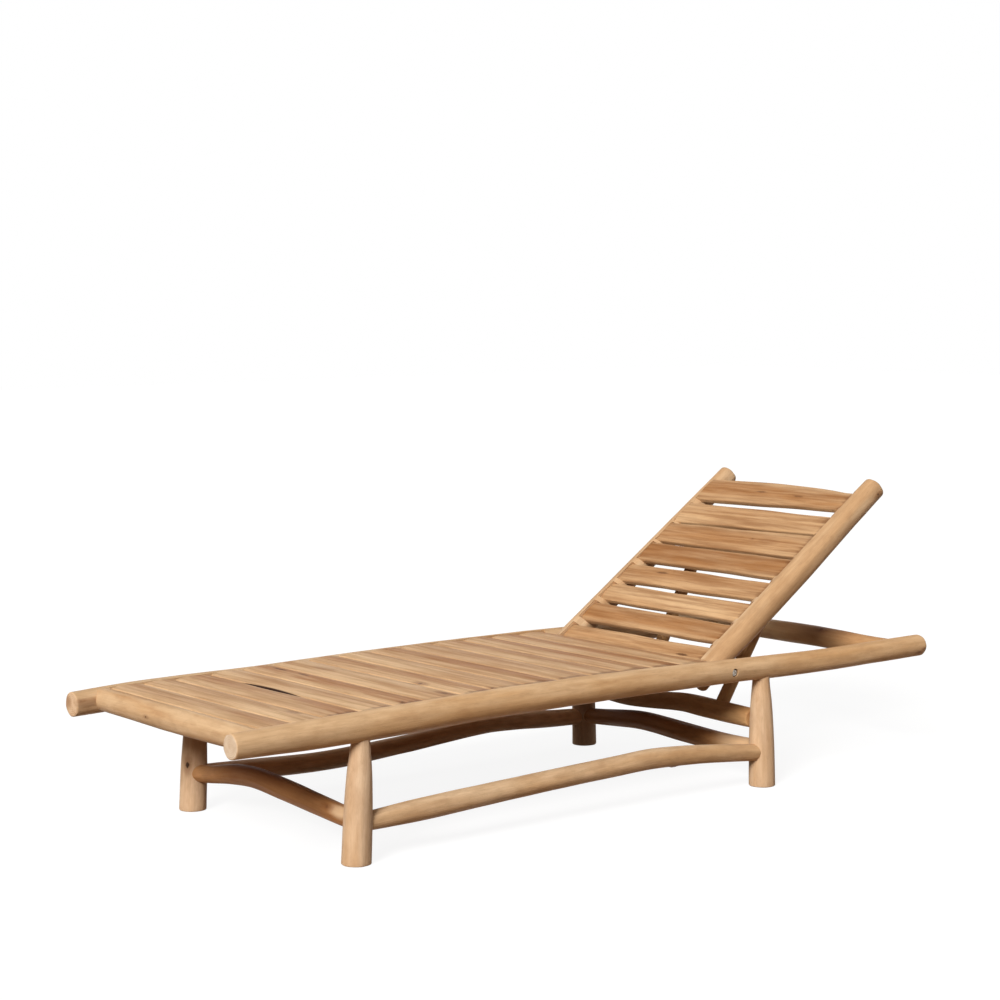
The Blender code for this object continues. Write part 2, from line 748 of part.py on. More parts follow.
left_spans = slat_spans(LEFT_BACK_WIDTHS, LEFT_BACK_GAPS)
right_spans = slat_spans(RIGHT_BACK_WIDTHS, RIGHT_BACK_GAPS)
for number, (left_span, right_span) in enumerate(zip(left_spans, right_spans), 1):
    rings = []
    for along in (0.0, BACK_NOTCH_SHARE, 0.24, 0.41, 0.59, 0.76, 1 - BACK_NOTCH_SHARE, 1.0):
        free = (along - BACK_NOTCH_SHARE) / (1 - 2 * BACK_NOTCH_SHARE)
        belly = max(4 * free * (1 - free), 0.0)
        turned = min(max(free, 0.0), 1.0)
        low = left_span[0] + (right_span[0] - left_span[0]) * turned
        high = left_span[1] + (right_span[1] - left_span[1]) * turned
        front = low + BACK_SLAT_WAVE * wave(number, along) * belly
        back = high + BACK_SLAT_WAVE * wave(number + 0.5, along) * belly
        if number == len(left_spans):
            back += BACK_TOP_ARCH * belly
        y = back_low + FIT + along * (back_high - back_low - 2 * FIT)
        rings.append(plank_ring(y, front, back, BACK_SLAT_THICKNESS, SLAT_EASE, SLAT_CROWN))
    slat = solid(f"back_slat_{number:02d}", [rings], SLAT_TEAK, back_pivot)
    slat.location = (0, 0, BACK_SLAT_RISE)
    for hand, (low, high) in (("left", left_span), ("right", right_span)):
        pole, side = back_poles[hand][:2]
        wall = back_low if hand == "left" else back_high
        pole.cuts.append(
            block(
                (low - FIT, high + FIT),
                (wall, wall + side * CUT_REACH),
                (BACK_SLAT_RISE - FIT, BACK_SLAT_RISE + CUT_REACH),
            )
        )

# Back cross bar: a round bar behind the slats for the prop to hold up
bar_shape = ((0.0, 0.0, 0.0, CROSS_BAR_RADIUS), (1.0, 0.0, 0.0, CROSS_BAR_RADIUS))
cross_bar = Pole(
    (CROSS_BAR_PLACE, left_pole.start.y, -CROSS_BAR_DROP),
    (CROSS_BAR_PLACE, right_pole.start.y, -CROSS_BAR_DROP),
    bar_shape,
    (-1, 0, 0),
)
bar_left = seated_end(cross_bar, True, left_pole, STICK_TENON_RADIUS, STICK_TENON_DEPTH)
bar_right = seated_end(cross_bar, False, right_pole, STICK_TENON_RADIUS, STICK_TENON_DEPTH)
pole_object("back_cross_bar", cross_bar, bar_left, bar_right, 4, back_pivot)

# Back poles: their lower ends are sawn plumb, so that they clear the seat when the back is down
for hand in ("left", "right"):
    pole = back_poles[hand][0]
    lower_end = free_end(pole, True, HEAD_END_EASE)
    upper_end = free_end(pole, False, HEAD_END_EASE)
    item = pole_object("back_pole_" + hand, pole, lower_end, upper_end, 6, back_pivot)
    saw_line = -BACK_STUB / math.cos(tilt)
    slant = CUT_REACH * math.tan(tilt)
    waste = []
    for y in (pole.start.y - CUT_REACH, pole.start.y + CUT_REACH):
        waste.append(
            [
                Vector((-2 * BACK_TAIL, y, CUT_REACH)),
                Vector((saw_line + slant, y, CUT_REACH)),
                Vector((saw_line - slant, y, -CUT_REACH)),
                Vector((-2 * BACK_TAIL, y, -CUT_REACH)),
            ]
        )
    carve(item, [waste], back_pivot)

# Prop: a bar that turns in the head legs, with two sticks that hold the back cross bar up
prop_pivot = bpy.data.objects.new("prop_pivot", None)
bpy.context.collection.objects.link(prop_pivot)
prop_origin = leg_centre("head", "left", PROP_BAR_HEIGHT)
prop_origin.y = 0
prop_pivot.location = prop_origin
prop_bar = Pole((0, -half_spacing, 0), (0, half_spacing, 0), PROP_BAR_SHAPE, (-1, 0, 0))
prop_left = turning_end(
    prop_bar, True, legs["head", "left"], prop_origin, STRETCHER_TENON_RADIUS, STRETCHER_TENON_DEPTH
)
prop_right = turning_end(
    prop_bar, False, legs["head", "right"], prop_origin, STRETCHER_TENON_RADIUS, STRETCHER_TENON_DEPTH
)
held = Vector((hinge_x, 0, hinge_z)) - prop_origin
held += Vector((math.cos(tilt), 0, math.sin(tilt))) * CROSS_BAR_PLACE
held += Vector((math.sin(tilt), 0, -math.cos(tilt))) * CROSS_BAR_DROP
stick_length = held.length - CROSS_BAR_RADIUS - PROP_TOP_CLEARANCE
stick_way = held.normalized()
for hand, y, lean in (
    ("left", LEFT_STICK_PLACE, LEFT_STICK_LEAN),
    ("right", RIGHT_STICK_PLACE, RIGHT_STICK_LEAN),
):
    base = prop_bar.centre((y + half_spacing) / RAIL_SPACING)
    base.x = 0
    tip = stick_way * stick_length
    tip.y = base.y
    shape = (
        (0.0, 0.0, 0.0, PROP_STICK_RADIUS + 1.5 * PROP_STICK_TAPER),
        (0.5, 0.55 * lean, 0.0, PROP_STICK_RADIUS + 0.5 * PROP_STICK_TAPER),
        (1.0, lean, 0.0, PROP_STICK_RADIUS - 0.5 * PROP_STICK_TAPER),
    )
    stick = Pole(base, tip, shape, (0, 1, 0))
    stick_foot = seated_end(stick, True, prop_bar, STICK_TENON_RADIUS, STICK_TENON_DEPTH)
    pole_object("prop_stick_" + hand, stick, stick_foot, domed_end(stick, False), 6, prop_pivot)
pole_object("prop_bar", prop_bar, prop_left, prop_right, 9, prop_pivot)

# The rails and legs come last, when all their sockets are known
for name, rail in (("side_rail_left", left_rail), ("side_rail_right", right_rail)):
    pole_object(name, rail, free_end(rail, True, FOOT_END_EASE), free_end(rail, False, HEAD_END_EASE), 15)
for place, hand in legs:
    leg = legs[place, hand]
    pole_object(f"leg_{place}_{hand}", leg, free_end(leg, True, FOOT_END_EASE), leg_tops[place, hand], 5)
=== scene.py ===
import math

import bmesh
import bpy
from mathutils import Matrix, Vector, noise


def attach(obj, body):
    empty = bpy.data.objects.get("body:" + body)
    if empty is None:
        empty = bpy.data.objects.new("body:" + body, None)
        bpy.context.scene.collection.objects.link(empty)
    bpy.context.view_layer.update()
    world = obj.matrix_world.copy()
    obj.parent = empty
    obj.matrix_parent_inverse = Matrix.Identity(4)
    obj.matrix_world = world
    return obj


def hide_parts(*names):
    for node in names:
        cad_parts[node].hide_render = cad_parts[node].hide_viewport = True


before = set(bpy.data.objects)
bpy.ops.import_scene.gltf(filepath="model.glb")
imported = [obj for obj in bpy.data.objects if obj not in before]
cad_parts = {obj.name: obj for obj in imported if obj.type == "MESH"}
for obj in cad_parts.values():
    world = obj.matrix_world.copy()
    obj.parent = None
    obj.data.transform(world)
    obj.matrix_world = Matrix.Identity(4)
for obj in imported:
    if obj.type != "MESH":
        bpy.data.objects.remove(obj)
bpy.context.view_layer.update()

# Side rails
# Two peeled teak branches, two metres long, carry the whole chaise. Their ends are sawn square and eased,
# and a rebate is cut along the inner top of each, in which the ends of the seat slats lie.
hand_sides = {"left": 1, "right": -1}
rail_half_length = 1.0
rail_half_spacing = 0.3185
rail_axis_height = 0.2785
foot_end_ease = 0.0028
head_end_ease = 0.006
rebate_from = -0.9135
rebate_to = 0.3135
rebate_inset = 0.007
rebate_wall = rail_half_spacing - rebate_inset
rebate_rise = 0.0082
rebate_steps = 24
cutter_reach = 0.060
hinge_x = 0.338
bolt_recess_radius = 0.0098
bolt_recess_depth = 0.009
lump_height = 0.0008
small_lump_height = 0.0004
flat_depth = 0.0003
grain_shift = 1.9
# Each station of a branch: share of its length, sideways bend, rise, girth radius
rail_stations = {
    "left": (
        (0.000, 0.000, 0.0000, 0.0262),
        (0.140, 0.000, 0.0015, 0.0315),
        (0.305, 0.001, 0.0075, 0.0303),
        (0.435, 0.001, 0.0090, 0.0297),
        (0.550, 0.001, 0.0070, 0.0290),
        (0.668, 0.000, 0.0030, 0.0275),
        (0.810, 0.000, -0.0030, 0.0265),
        (1.000, 0.000, -0.0020, 0.0255),
    ),
    "right": (
        (0.000, 0.0038, -0.0065, 0.0272),
        (0.070, 0.0030, -0.0019, 0.0284),
        (0.140, 0.0035, -0.0006, 0.0279),
        (0.230, 0.0032, -0.0002, 0.0274),
        (0.305, 0.0030, 0.0014, 0.0272),
        (0.370, 0.0025, 0.0032, 0.0272),
        (0.435, 0.0020, 0.0046, 0.0274),
        (0.550, 0.0010, 0.0050, 0.0274),
        (0.668, 0.0000, 0.0028, 0.0270),
        (0.810, 0.0000, -0.0030, 0.0264),
        (1.000, 0.0000, -0.0020, 0.0258),
    ),
}


class Branch:
    """A peeled branch between two points, gently bent, with a girth that changes along it."""

    def __init__(self, start, end, stations, side, seed, knots=()):
        self.start = Vector(start)
        self.length = (Vector(end) - self.start).length
        self.axis = (Vector(end) - self.start) / self.length
        self.side = Vector(side)
        self.rise = self.axis.cross(self.side)
        self.stations = stations
        self.seed = seed
        self.knots = knots

    def value(self, column, share):
        """Smooth value of one column of the stations at a share of the length."""
        last = len(self.stations) - 1
        index = 0
        while index < last - 1 and share > self.stations[index + 1][0]:
            index += 1

        def slope(place):
            low = self.stations[max(place - 1, 0)]
            high = self.stations[min(place + 1, last)]
            return (high[column] - low[column]) / (high[0] - low[0])

        begin = self.stations[index]
        finish = self.stations[index + 1]
        span = finish[0] - begin[0]
        f = (share - begin[0]) / span
        return (
            begin[column] * (1 + 2 * f) * (1 - f) ** 2
            + finish[column] * f * f * (3 - 2 * f)
            + slope(index) * span * f * (1 - f) ** 2
            + slope(index + 1) * span * f * f * (f - 1)
        )

    def centre(self, share):
        bend = self.side * self.value(1, share) + self.rise * self.value(2, share)
        return self.start + self.axis * self.length * share + bend

    def girth(self, share):
        return self.value(3, share)

    def share_of(self, point):
        share = (point - self.start).dot(self.axis) / self.length
        return min(max(share, 0.0), 1.0)

    def from_end(self, at_start, distance):
        """Share of the length that lies at a distance from the start or from the other end."""
        share = distance / self.length
        return share if at_start else 1 - share

    def outward(self, turn):
        return self.side * math.cos(turn) + self.rise * math.sin(turn)

    def skin(self, share, turn):
        """Point on the peeled surface, with the low lumps and flats that the drawknife leaves."""
        along = share * self.length
        place = Vector((6.0 * along + 7.3 * self.seed, 1.3 * math.cos(turn), 1.3 * math.sin(turn)))
        lump = lump_height * noise.noise(place) + small_lump_height * noise.noise(place * 2.7)
        flat = flat_depth * math.cos(6 * turn + 5.0 * along + self.seed)
        radius = self.girth(share) + lump + flat
        for knot_along, knot_turn, height, width in self.knots:
            around = math.remainder(turn - knot_turn, 2 * math.pi) * self.girth(share)
            distance = ((along - knot_along) ** 2 + around ** 2) / width ** 2
            radius += height * math.exp(-distance)
        return self.centre(share) + self.outward(turn) * radius


branch_sides = 44
branch_step = 0.009
branch_turns = [2 * math.pi * step / branch_sides for step in range(branch_sides)]


def circle(branch, centre, radius):
    """Plain round ring of points square to a branch."""
    return [centre + branch.outward(turn) * radius for turn in branch_turns]


def skin_ring(branch, share):
    """Ring of points on the peeled surface at a share of a branch's length."""
    return [branch.skin(share, turn) for turn in branch_turns]


def eased_rings(branch, at_start, face, ease, turns):
    """Edge rounded over, from a cut face at a distance from an end out to the full girth."""
    rings = []
    for turn in turns:
        lean = math.radians(turn)
        share = branch.from_end(at_start, face + ease * (1 - math.sin(lean)))
        centre = branch.centre(share)
        inset = ease * (1 - math.cos(lean))
        rings.append([point - (point - centre).normalized() * inset for point in skin_ring(branch, share)])
    return rings


def sawn_end(branch, at_start, ease):
    """End sawn square with an eased edge, from the middle of the cut face outwards."""
    tip_share = branch.from_end(at_start, 0.0)
    tip = skin_ring(branch, tip_share)
    middle = branch.centre(tip_share)
    rings = []
    for share in (0.12, 0.4, 0.7):
        rings.append([middle + (point - middle) * share for point in tip])
    return rings + eased_rings(branch, at_start, 0.0, ease, (90, 65, 40, 20, 0)), ease


def loft(name, rings):
    """Closed body skinned over a row of rings."""
    bm = bmesh.new()
    loops = [[bm.verts.new(point) for point in ring] for ring in rings]
    count = len(loops[0])
    bm.faces.new(loops[0])
    bm.faces.new(loops[-1])
    for low, high in zip(loops, loops[1:]):
        for step in range(count):
            after = (step + 1) % count
            bm.faces.new((low[step], low[after], high[after], high[step]))
    bmesh.ops.recalc_face_normals(bm, faces=bm.faces)
    mesh = bpy.data.meshes.new(name)
    bm.to_mesh(mesh)
    bm.free()
    piece = bpy.data.objects.new(name, mesh)
    bpy.context.collection.objects.link(piece)
    return piece


def carve(piece, cuts):
    """Cut closed lofts out of a piece, one after another."""
    for rings in cuts:
        cutter = loft("cutter", rings)
        boolean = piece.modifiers.new("cut", "BOOLEAN")
        boolean.operation = "DIFFERENCE"
        boolean.solver = "EXACT"
        boolean.object = cutter
        bpy.context.view_layer.update()
        shape = piece.evaluated_get(bpy.context.evaluated_depsgraph_get())
        cut_mesh = bpy.data.meshes.new_from_object(shape)
        piece.modifiers.clear()
        piece.data = cut_mesh
        bpy.data.objects.remove(cutter)


sharp_edge = math.radians(38)
sawn_depth = 0.0012


def dress(piece, material):
    """Smooth a piece between its sharp edges and give it its finish."""
    piece.data.shade_smooth()
    piece.data.set_sharp_from_angle(angle=sharp_edge)
    piece.data.materials.clear()
    piece.data.materials.append(material)


def note_points(piece, name, kind, values):
    """Note a value at every point of a piece, for its finish to read."""
    layer = piece.data.attributes.new(name, kind, "POINT")
    layer.data.foreach_set("vector" if kind == "FLOAT_VECTOR" else "value", values)


def finish_wood(piece, grain_of, material, place=None, tone_and_shade=0.0):
    """Dress a piece, note where each point lay in the timber, the sawn ends and the tone, and seat it."""
    spots = []
    sawn = []
    for vertex in piece.data.vertices:
        *spot, from_end = grain_of(vertex.co)
        spots += spot
        sawn.append(max(1 - from_end / sawn_depth, 0.0))
    dress(piece, material)
    note_points(piece, "grain", "FLOAT_VECTOR", spots)
    note_points(piece, "sawn", "FLOAT", sawn)
    note_points(piece, "tone_and_shade", "FLOAT", [tone_and_shade] * len(sawn))
    if place:
        piece.data.transform(place)


def branch_grain(branch):
    """Where a point lies in a branch's timber: along it, across it, up from its pith, and from its ends."""

    def grain_of(point):
        share = branch.share_of(point)
        offset = point - branch.centre(share)
        along = share * branch.length + grain_shift * branch.seed
        from_end = min(share, 1 - share) * branch.length
        return (along, offset.dot(branch.side), offset.dot(branch.rise), from_end)

    return grain_of


def branch_piece(name, branch, ends, teak, cuts=(), place=None):
    """Skin a branch between its two worked ends, cut what is let into it, finish it and seat it."""
    (start_rings, start_clear), (finish_rings, finish_clear) = ends
    run = branch.length - start_clear - finish_clear
    count = round(run / branch_step)
    rings = list(start_rings)
    for step in range(1, count):
        rings.append(skin_ring(branch, (start_clear + run * step / count) / branch.length))
    piece = loft(name + "_teak", rings + finish_rings[::-1])
    carve(piece, cuts)
    finish_wood(piece, branch_grain(branch), teak, place)
    return piece


def srgb(red, green, blue):
    """Linear colour of a paint-card colour given in 0 to 255."""
    colour = []
    for level in (red, green, blue):
        share = level / 255
        colour.append(share / 12.92 if share <= 0.04045 else ((share + 0.055) / 1.055) ** 2.4)
    return (*colour, 1.0)


def node(tree, kind, inputs=None, **settings):
    """Add a shader node; an input given as a socket is linked, any other is set."""
    item = tree.nodes.new(kind)
    for name, value in settings.items():
        setattr(item, name, value)
    for key, value in (inputs or {}).items():
        if isinstance(value, bpy.types.NodeSocket):
            tree.links.new(value, item.inputs[key])
        else:
            item.inputs[key].default_value = value
    return item


def maths(tree, how, *values):
    """One step of arithmetic on numbers."""
    return node(tree, "ShaderNodeMath", dict(enumerate(values)), operation=how).outputs[0]


def vector_maths(tree, how, *values):
    """One step of arithmetic on vectors."""
    step = node(tree, "ShaderNodeVectorMath", dict(enumerate(values)), operation=how)
    return step.outputs["Value" if how == "LENGTH" else "Vector"]


def noted(tree, name, kind="Fac"):
    """What a piece has noted at its points."""
    return node(tree, "ShaderNodeAttribute", attribute_name=name).outputs[kind]


def noise_level(tree, vector, stretch, detail, roughness=0.55):
    """Noise drawn out along the timber: stretch is its count per metre along, across and up."""
    scaled = vector_maths(tree, "MULTIPLY", vector, stretch)
    inputs = {"Vector": scaled, "Scale": 1.0, "Detail": detail, "Roughness": roughness}
    return node(tree, "ShaderNodeTexNoise", inputs).outputs


def ramp_level(tree, value, low, high, to_low=0.0, to_high=1.0):
    """Smooth step of a value between two limits."""
    limits = {"Value": value, "From Min": low, "From Max": high, "To Min": to_low, "To Max": to_high}
    return node(tree, "ShaderNodeMapRange", limits, interpolation_type="SMOOTHSTEP").outputs["Result"]


def effect_group(name, inputs, outputs):
    """Effect that several finishes share: its nodes, what comes in, and the masks that it gives out."""
    group = bpy.data.node_groups.new(name, "ShaderNodeTree")
    for socket, kind in inputs:
        group.interface.new_socket(socket, in_out="INPUT", socket_type="NodeSocket" + kind)
    for socket in outputs:
        group.interface.new_socket(socket, in_out="OUTPUT", socket_type="NodeSocketFloat")
    return group, node(group, "NodeGroupInput").outputs, node(group, "NodeGroupOutput").inputs


# Figure of the teak itself: growth rings round the pith, wandering streaks, fibres, open pores, wide clouds
# and small mottled patches
teak_figure, figure_in, figure_out = effect_group(
    "teak_figure",
    (("Grain", "Vector"), ("Ring Width", "Float")),
    ("Rings", "Streaks", "Fibres", "Pores", "Clouds", "Mottle"),
)
straight_grain = figure_in["Grain"]
wander = noise_level(teak_figure, straight_grain, (2.6, 14.0, 14.0), 2.0)["Color"]
wander = vector_maths(teak_figure, "SUBTRACT", wander, (0.5, 0.5, 0.5))
bent_grain = vector_maths(teak_figure, "MULTIPLY_ADD", wander, (0.0, 0.011, 0.011), straight_grain)
across_only = vector_maths(teak_figure, "MULTIPLY", bent_grain, (0.0, 1.0, 1.0))
from_pith = vector_maths(teak_figure, "LENGTH", across_only)
ring_share = maths(teak_figure, "FRACT", maths(teak_figure, "DIVIDE", from_pith, figure_in["Ring Width"]))
ring_dark = ramp_level(teak_figure, ring_share, 0.35, 0.88)
ring_fade = ramp_level(teak_figure, ring_share, 0.90, 1.0, 1.0, 0.0)
teak_figure.links.new(maths(teak_figure, "MULTIPLY", ring_dark, ring_fade), figure_out["Rings"])
# Each layer: the grain that it follows, its stretch, detail and roughness, and the limits of its step
for layer, along_grain, stretch, detail, roughness, low, high in (
    ("Streaks", bent_grain, (4.5, 75.0, 75.0), 4.0, 0.60, 0.36, 0.68),
    ("Fibres", bent_grain, (16.0, 520.0, 520.0), 3.0, 0.55, 0.30, 0.72),
    ("Pores", bent_grain, (55.0, 1300.0, 1300.0), 1.0, 0.55, 0.60, 0.72),
    ("Clouds", straight_grain, (2.4, 17.0, 17.0), 3.0, 0.55, 0.34, 0.66),
    ("Mottle", bent_grain, (21.0, 58.0, 58.0), 3.0, 0.55, 0.40, 0.70),
):
    level = noise_level(teak_figure, along_grain, stretch, detail, roughness)["Fac"]
    teak_figure.links.new(ramp_level(teak_figure, level, low, high), figure_out[layer])

# A mark in the timber: a dark heart with a wavy rim, a brown stain drawn out along the grain round it,
# and a narrow streak that runs further along the grain. Marks with only the brown patch serve as painted
# shade.
knot_and_shade_mark, knot_in, knot_out = effect_group(
    "knot_and_shade_mark",
    (("Grain", "Vector"), ("Centre", "Vector"), ("Size", "Float")),
    ("Heart", "Stain And Shade", "Streak"),
)
rim = noise_level(knot_and_shade_mark, knot_in["Grain"], (160.0, 260.0, 260.0), 2.0)["Color"]
rim = vector_maths(knot_and_shade_mark, "SUBTRACT", rim, (0.5, 0.5, 0.5))
rim = vector_maths(knot_and_shade_mark, "MULTIPLY_ADD", rim, (0.008, 0.004, 0.004), knot_in["Grain"])
knot_offset = vector_maths(knot_and_shade_mark, "SUBTRACT", rim, knot_in["Centre"])
for layer, stretch, low, high in (
    ("Heart", (0.8, 1.0, 1.0), 0.45, 1.0),
    ("Stain And Shade", (0.30, 0.75, 0.75), 0.5, 1.6),
    ("Streak", (0.14, 0.90, 0.90), 0.5, 1.1),
):
    drawn = vector_maths(knot_and_shade_mark, "MULTIPLY", knot_offset, stretch)
    in_sizes = maths(knot_and_shade_mark, "DIVIDE", vector_maths(knot_and_shade_mark, "LENGTH", drawn), knot_in["Size"])
    knot_and_shade_mark.links.new(ramp_level(knot_and_shade_mark, in_sizes, low, high, 1.0, 0.0), knot_out[layer])


def blend_colour(tree, share, first, second):
    """Mix of two colours by a share; a colour that isn't a socket is a paint-card one."""
    mix = node(tree, "ShaderNodeMix", {"Factor": share}, data_type="RGBA", blend_type="MIX")
    for socket, colour in ((mix.inputs[6], first), (mix.inputs[7], second)):
        if isinstance(colour, bpy.types.NodeSocket):
            tree.links.new(colour, socket)
        else:
            socket.default_value = srgb(*colour)
    return mix.outputs[2]


def lay_over(tree, masks, colour, layers):
    """Lay tints over a colour; each layer names a mask, its strength and the tint."""
    for mask, strength, tint in layers:
        colour = blend_colour(tree, maths(tree, "MULTIPLY", masks[mask], strength), colour, tint)
    return colour


def add_marks(tree, grain, colour, marks, stain_and_shade_tint, darkened):
    """Lay marks on a timber colour, knots and patches of painted shade alike; each has a centre, a size and
    strengths of heart, stain (the painted shade on shade patches) and streak.
    """
    for centre, size, heart, stain_and_shade, streak in marks:
        inputs = {"Grain": grain, "Centre": centre, "Size": size}
        masks = node(tree, "ShaderNodeGroup", inputs, node_tree=knot_and_shade_mark).outputs
        layers = (("Stain And Shade", stain_and_shade, stain_and_shade_tint), ("Streak", streak, darkened), ("Heart", heart, darkened))
        colour = lay_over(tree, masks, colour, layers)
    return colour


def teak_finish(name, ring_width):
    """Start of a teak finish: its material, its nodes, the grain and the masks of the figure."""
    material = bpy.data.materials.new(name)
    material.use_nodes = True
    tree = material.node_tree
    grain = noted(tree, "grain", "Vector")
    inputs = {"Grain": grain, "Ring Width": ring_width}
    return material, tree, grain, node(tree, "ShaderNodeGroup", inputs, node_tree=teak_figure).outputs


def sand_teak(tree, figure, colour, smooth, rough):
    """Sanded satin surface of a teak finish, with its fibres raised and its pores sunk."""
    shader = tree.nodes["Principled BSDF"]
    height = maths(tree, "SUBTRACT", figure["Fibres"], figure["Pores"])
    bump = node(tree, "ShaderNodeBump", {"Strength": 0.5, "Distance": 0.0004, "Height": height})
    tree.links.new(colour, shader.inputs["Base Color"])
    tree.links.new(ramp_level(tree, figure["Streaks"], 0.0, 1.0, smooth, rough), shader.inputs["Roughness"])
    shader.inputs["Specular IOR Level"].default_value = 0.12
    tree.links.new(bump.outputs[0], shader.inputs["Normal"])


peeled_ring_width = 0.0042
trimmed_teak = (232, 204, 166)
pale_end = (230, 209, 184)
dark_end = (186, 146, 104)


def peeled_teak(name, colours, knots=(), trimmed=(), end_colours=(pale_end, dark_end)):
    """Finish of a peeled branch: pale sapwood, warm clouds, brown streaks, knots, trimmed patches, patches
    of painted shade, and the painted shade of the bolt recess.
    """
    pale, warm, brown = colours
    material, tree, grain, figure = teak_finish(name, peeled_ring_width)
    colour = blend_colour(tree, figure["Clouds"], pale, warm)
    layers = (
        ("Mottle", 0.24, brown),
        ("Streaks", 0.22, brown),
        ("Rings", 0.08, brown),
        ("Fibres", 0.14, brown),
        ("Pores", 0.16, (92, 58, 34)),
    )
    colour = lay_over(tree, figure, colour, layers)
    # On the side rails this tone holds only the painted shade on the floor of the bolt recess
    colour = blend_colour(tree, noted(tree, "tone_and_shade"), colour, (112, 74, 46))
    end_pale, end_dark = end_colours
    end_grain = lay_over(tree, figure, end_pale, (("Rings", 0.55, end_dark), ("Streaks", 0.35, end_dark)))
    colour = blend_colour(tree, noted(tree, "sawn"), colour, end_grain)
    colour = add_marks(tree, grain, colour, trimmed, trimmed_teak, trimmed_teak)
    # The marks are knots and patches of painted shade; the shade patches take the stain colour
    colour = add_marks(tree, grain, colour, knots, (128, 78, 42), (52, 30, 18))
    sand_teak(tree, figure, colour, 0.50, 0.66)
    return material


rail_teak = {
    "left": peeled_teak(
        "left_rail_teak",
        ((224, 188, 146), (210, 166, 118), (164, 116, 72)),
        (
            ((3.892, -0.0235, -0.006), 0.0035, 0.4, 0.6, 0.0),
            ((3.876, -0.0215, -0.014), 0.0040, 0.3, 0.5, 0.0),
        ),
    ),
    "right": peeled_teak(
        "right_rail_teak",
        ((220, 190, 154), (206, 168, 124), (158, 112, 70)),
        (
            ((3.826, -0.0274, 0.003), 0.0075, 0.0, 0.35, 0.15),
            ((3.808, -0.0260, 0.010), 0.0035, 0.2, 0.4, 0.0),
            ((3.800, 0.0200, 0.004), 0.0110, 0.0, 0.5, 0.0),
        ),
        end_colours=((228, 196, 160), (172, 120, 78)),
    ),
}
rails = {}
for hand, seed in (("left", 1.0), ("right", 2.0)):
    y = -hand_sides[hand] * rail_half_spacing
    foot = (-rail_half_length, y, rail_axis_height)
    head = (rail_half_length, y, rail_axis_height)
    rails[hand] = Branch(foot, head, rail_stations[hand], (0, 1, 0), seed)


def rail_top_axis(x):
    """Height of the left rail's axis at a place along the chaise, which seat and hinge follow."""
    return rails["left"].centre((x + rail_half_length) / (2 * rail_half_length)).z


def rail_face(hand, inward):
    """Place across the chaise of a rail's inner (1) or outer (-1) face at the hinge."""
    share = rails[hand].share_of(Vector((hinge_x, 0, 0)))
    return rails[hand].centre(share).y + inward * hand_sides[hand] * rails[hand].girth(share)


def groove_ring(x, wall, inner, floor):
    """Outline of a square groove that is open at the top, from its wall inwards."""
    top = floor + cutter_reach
    return [Vector((x, y, z)) for y, z in ((wall, floor), (inner, floor), (inner, top), (wall, top))]


def rebate_ring(x, wall, inner):
    """Outline of the slats' rebate at a place along the chaise."""
    return groove_ring(x, wall, inner, rail_top_axis(x) + rebate_rise)


hinge_z = rail_top_axis(hinge_x)


def turned_rings(face, side, profile, sides, turn_from=0.0):
    """Rings about the hinge line, from pairs of a distance inwards from a face and a radius."""
    turns = [turn_from + 2 * math.pi * step / sides for step in range(sides)]
    rings = []
    for distance, radius in profile:
        across = [(hinge_x + radius * math.cos(turn), hinge_z + radius * math.sin(turn)) for turn in turns]
        rings.append([Vector((x, face + side * distance, z)) for x, z in across])
    return rings


recess_sides = 32
recess_overrun = 0.010
recess_grip = 0.0002
recess_profile = ((-recess_overrun, bolt_recess_radius), (bolt_recess_depth, bolt_recess_radius))
for hand, side in hand_sides.items():
    rail = rails[hand]
    rebate = []
    for step in range(rebate_steps + 1):
        x = rebate_from + (rebate_to - rebate_from) * step / rebate_steps
        rebate.append(rebate_ring(x, -side * rebate_wall, side * (cutter_reach - rebate_wall)))
    outside = rail_face(hand, -1)
    recess_floor = outside + side * bolt_recess_depth
    recess = turned_rings(outside, side, recess_profile, recess_sides)
    ends = sawn_end(rail, True, foot_end_ease), sawn_end(rail, False, head_end_ease)
    name = "side_rail_" + hand
    piece = branch_piece(name, rail, ends, rail_teak[hand], [rebate, recess])
    # Painted shade: the floor of the bolt's recess is darkened, as the shade that falls in the recess
    for vertex, tone_and_shade in zip(piece.data.vertices, piece.data.attributes["tone_and_shade"].data):
        off_hinge = math.hypot(vertex.co.x - hinge_x, vertex.co.z - hinge_z)
        if off_hinge < bolt_recess_radius + recess_grip and abs(vertex.co.y - recess_floor) < recess_grip:
            tone_and_shade.value = 1.0
    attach(piece, "frame")
    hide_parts(name)

# Cross rails
# A round branch across each end ties the side rails together. Both are tenoned into the rails, their
# shoulders scribed to the rails' round sides, and the foot one is rebated along its inner top for the
# first slat.
cross_tenon_depth = 0.018
past_rails = 0.7
scribe_sink = 0.0012
scribe_clear = 0.004
foot_cross_x = -0.935
head_cross_x = 0.908
foot_cross_stations = (
    (0.00, 0.000, -0.0002, 0.0245),
    (0.20, 0.000, -0.0002, 0.0262),
    (0.45, 0.000, -0.0008, 0.0272),
    (0.85, -0.004, -0.0012, 0.0262),
    (1.00, -0.006, -0.0018, 0.0248),
)
head_cross_stations = (
    (0.00, 0.000, -0.0010, 0.0225),
    (0.12, 0.000, -0.0012, 0.0230),
    (0.28, 0.000, 0.0002, 0.0252),
    (0.42, 0.000, 0.0012, 0.0260),
    (0.62, 0.001, 0.0004, 0.0259),
    (0.88, 0.000, -0.0012, 0.0232),
    (1.00, 0.000, -0.0010, 0.0228),
)


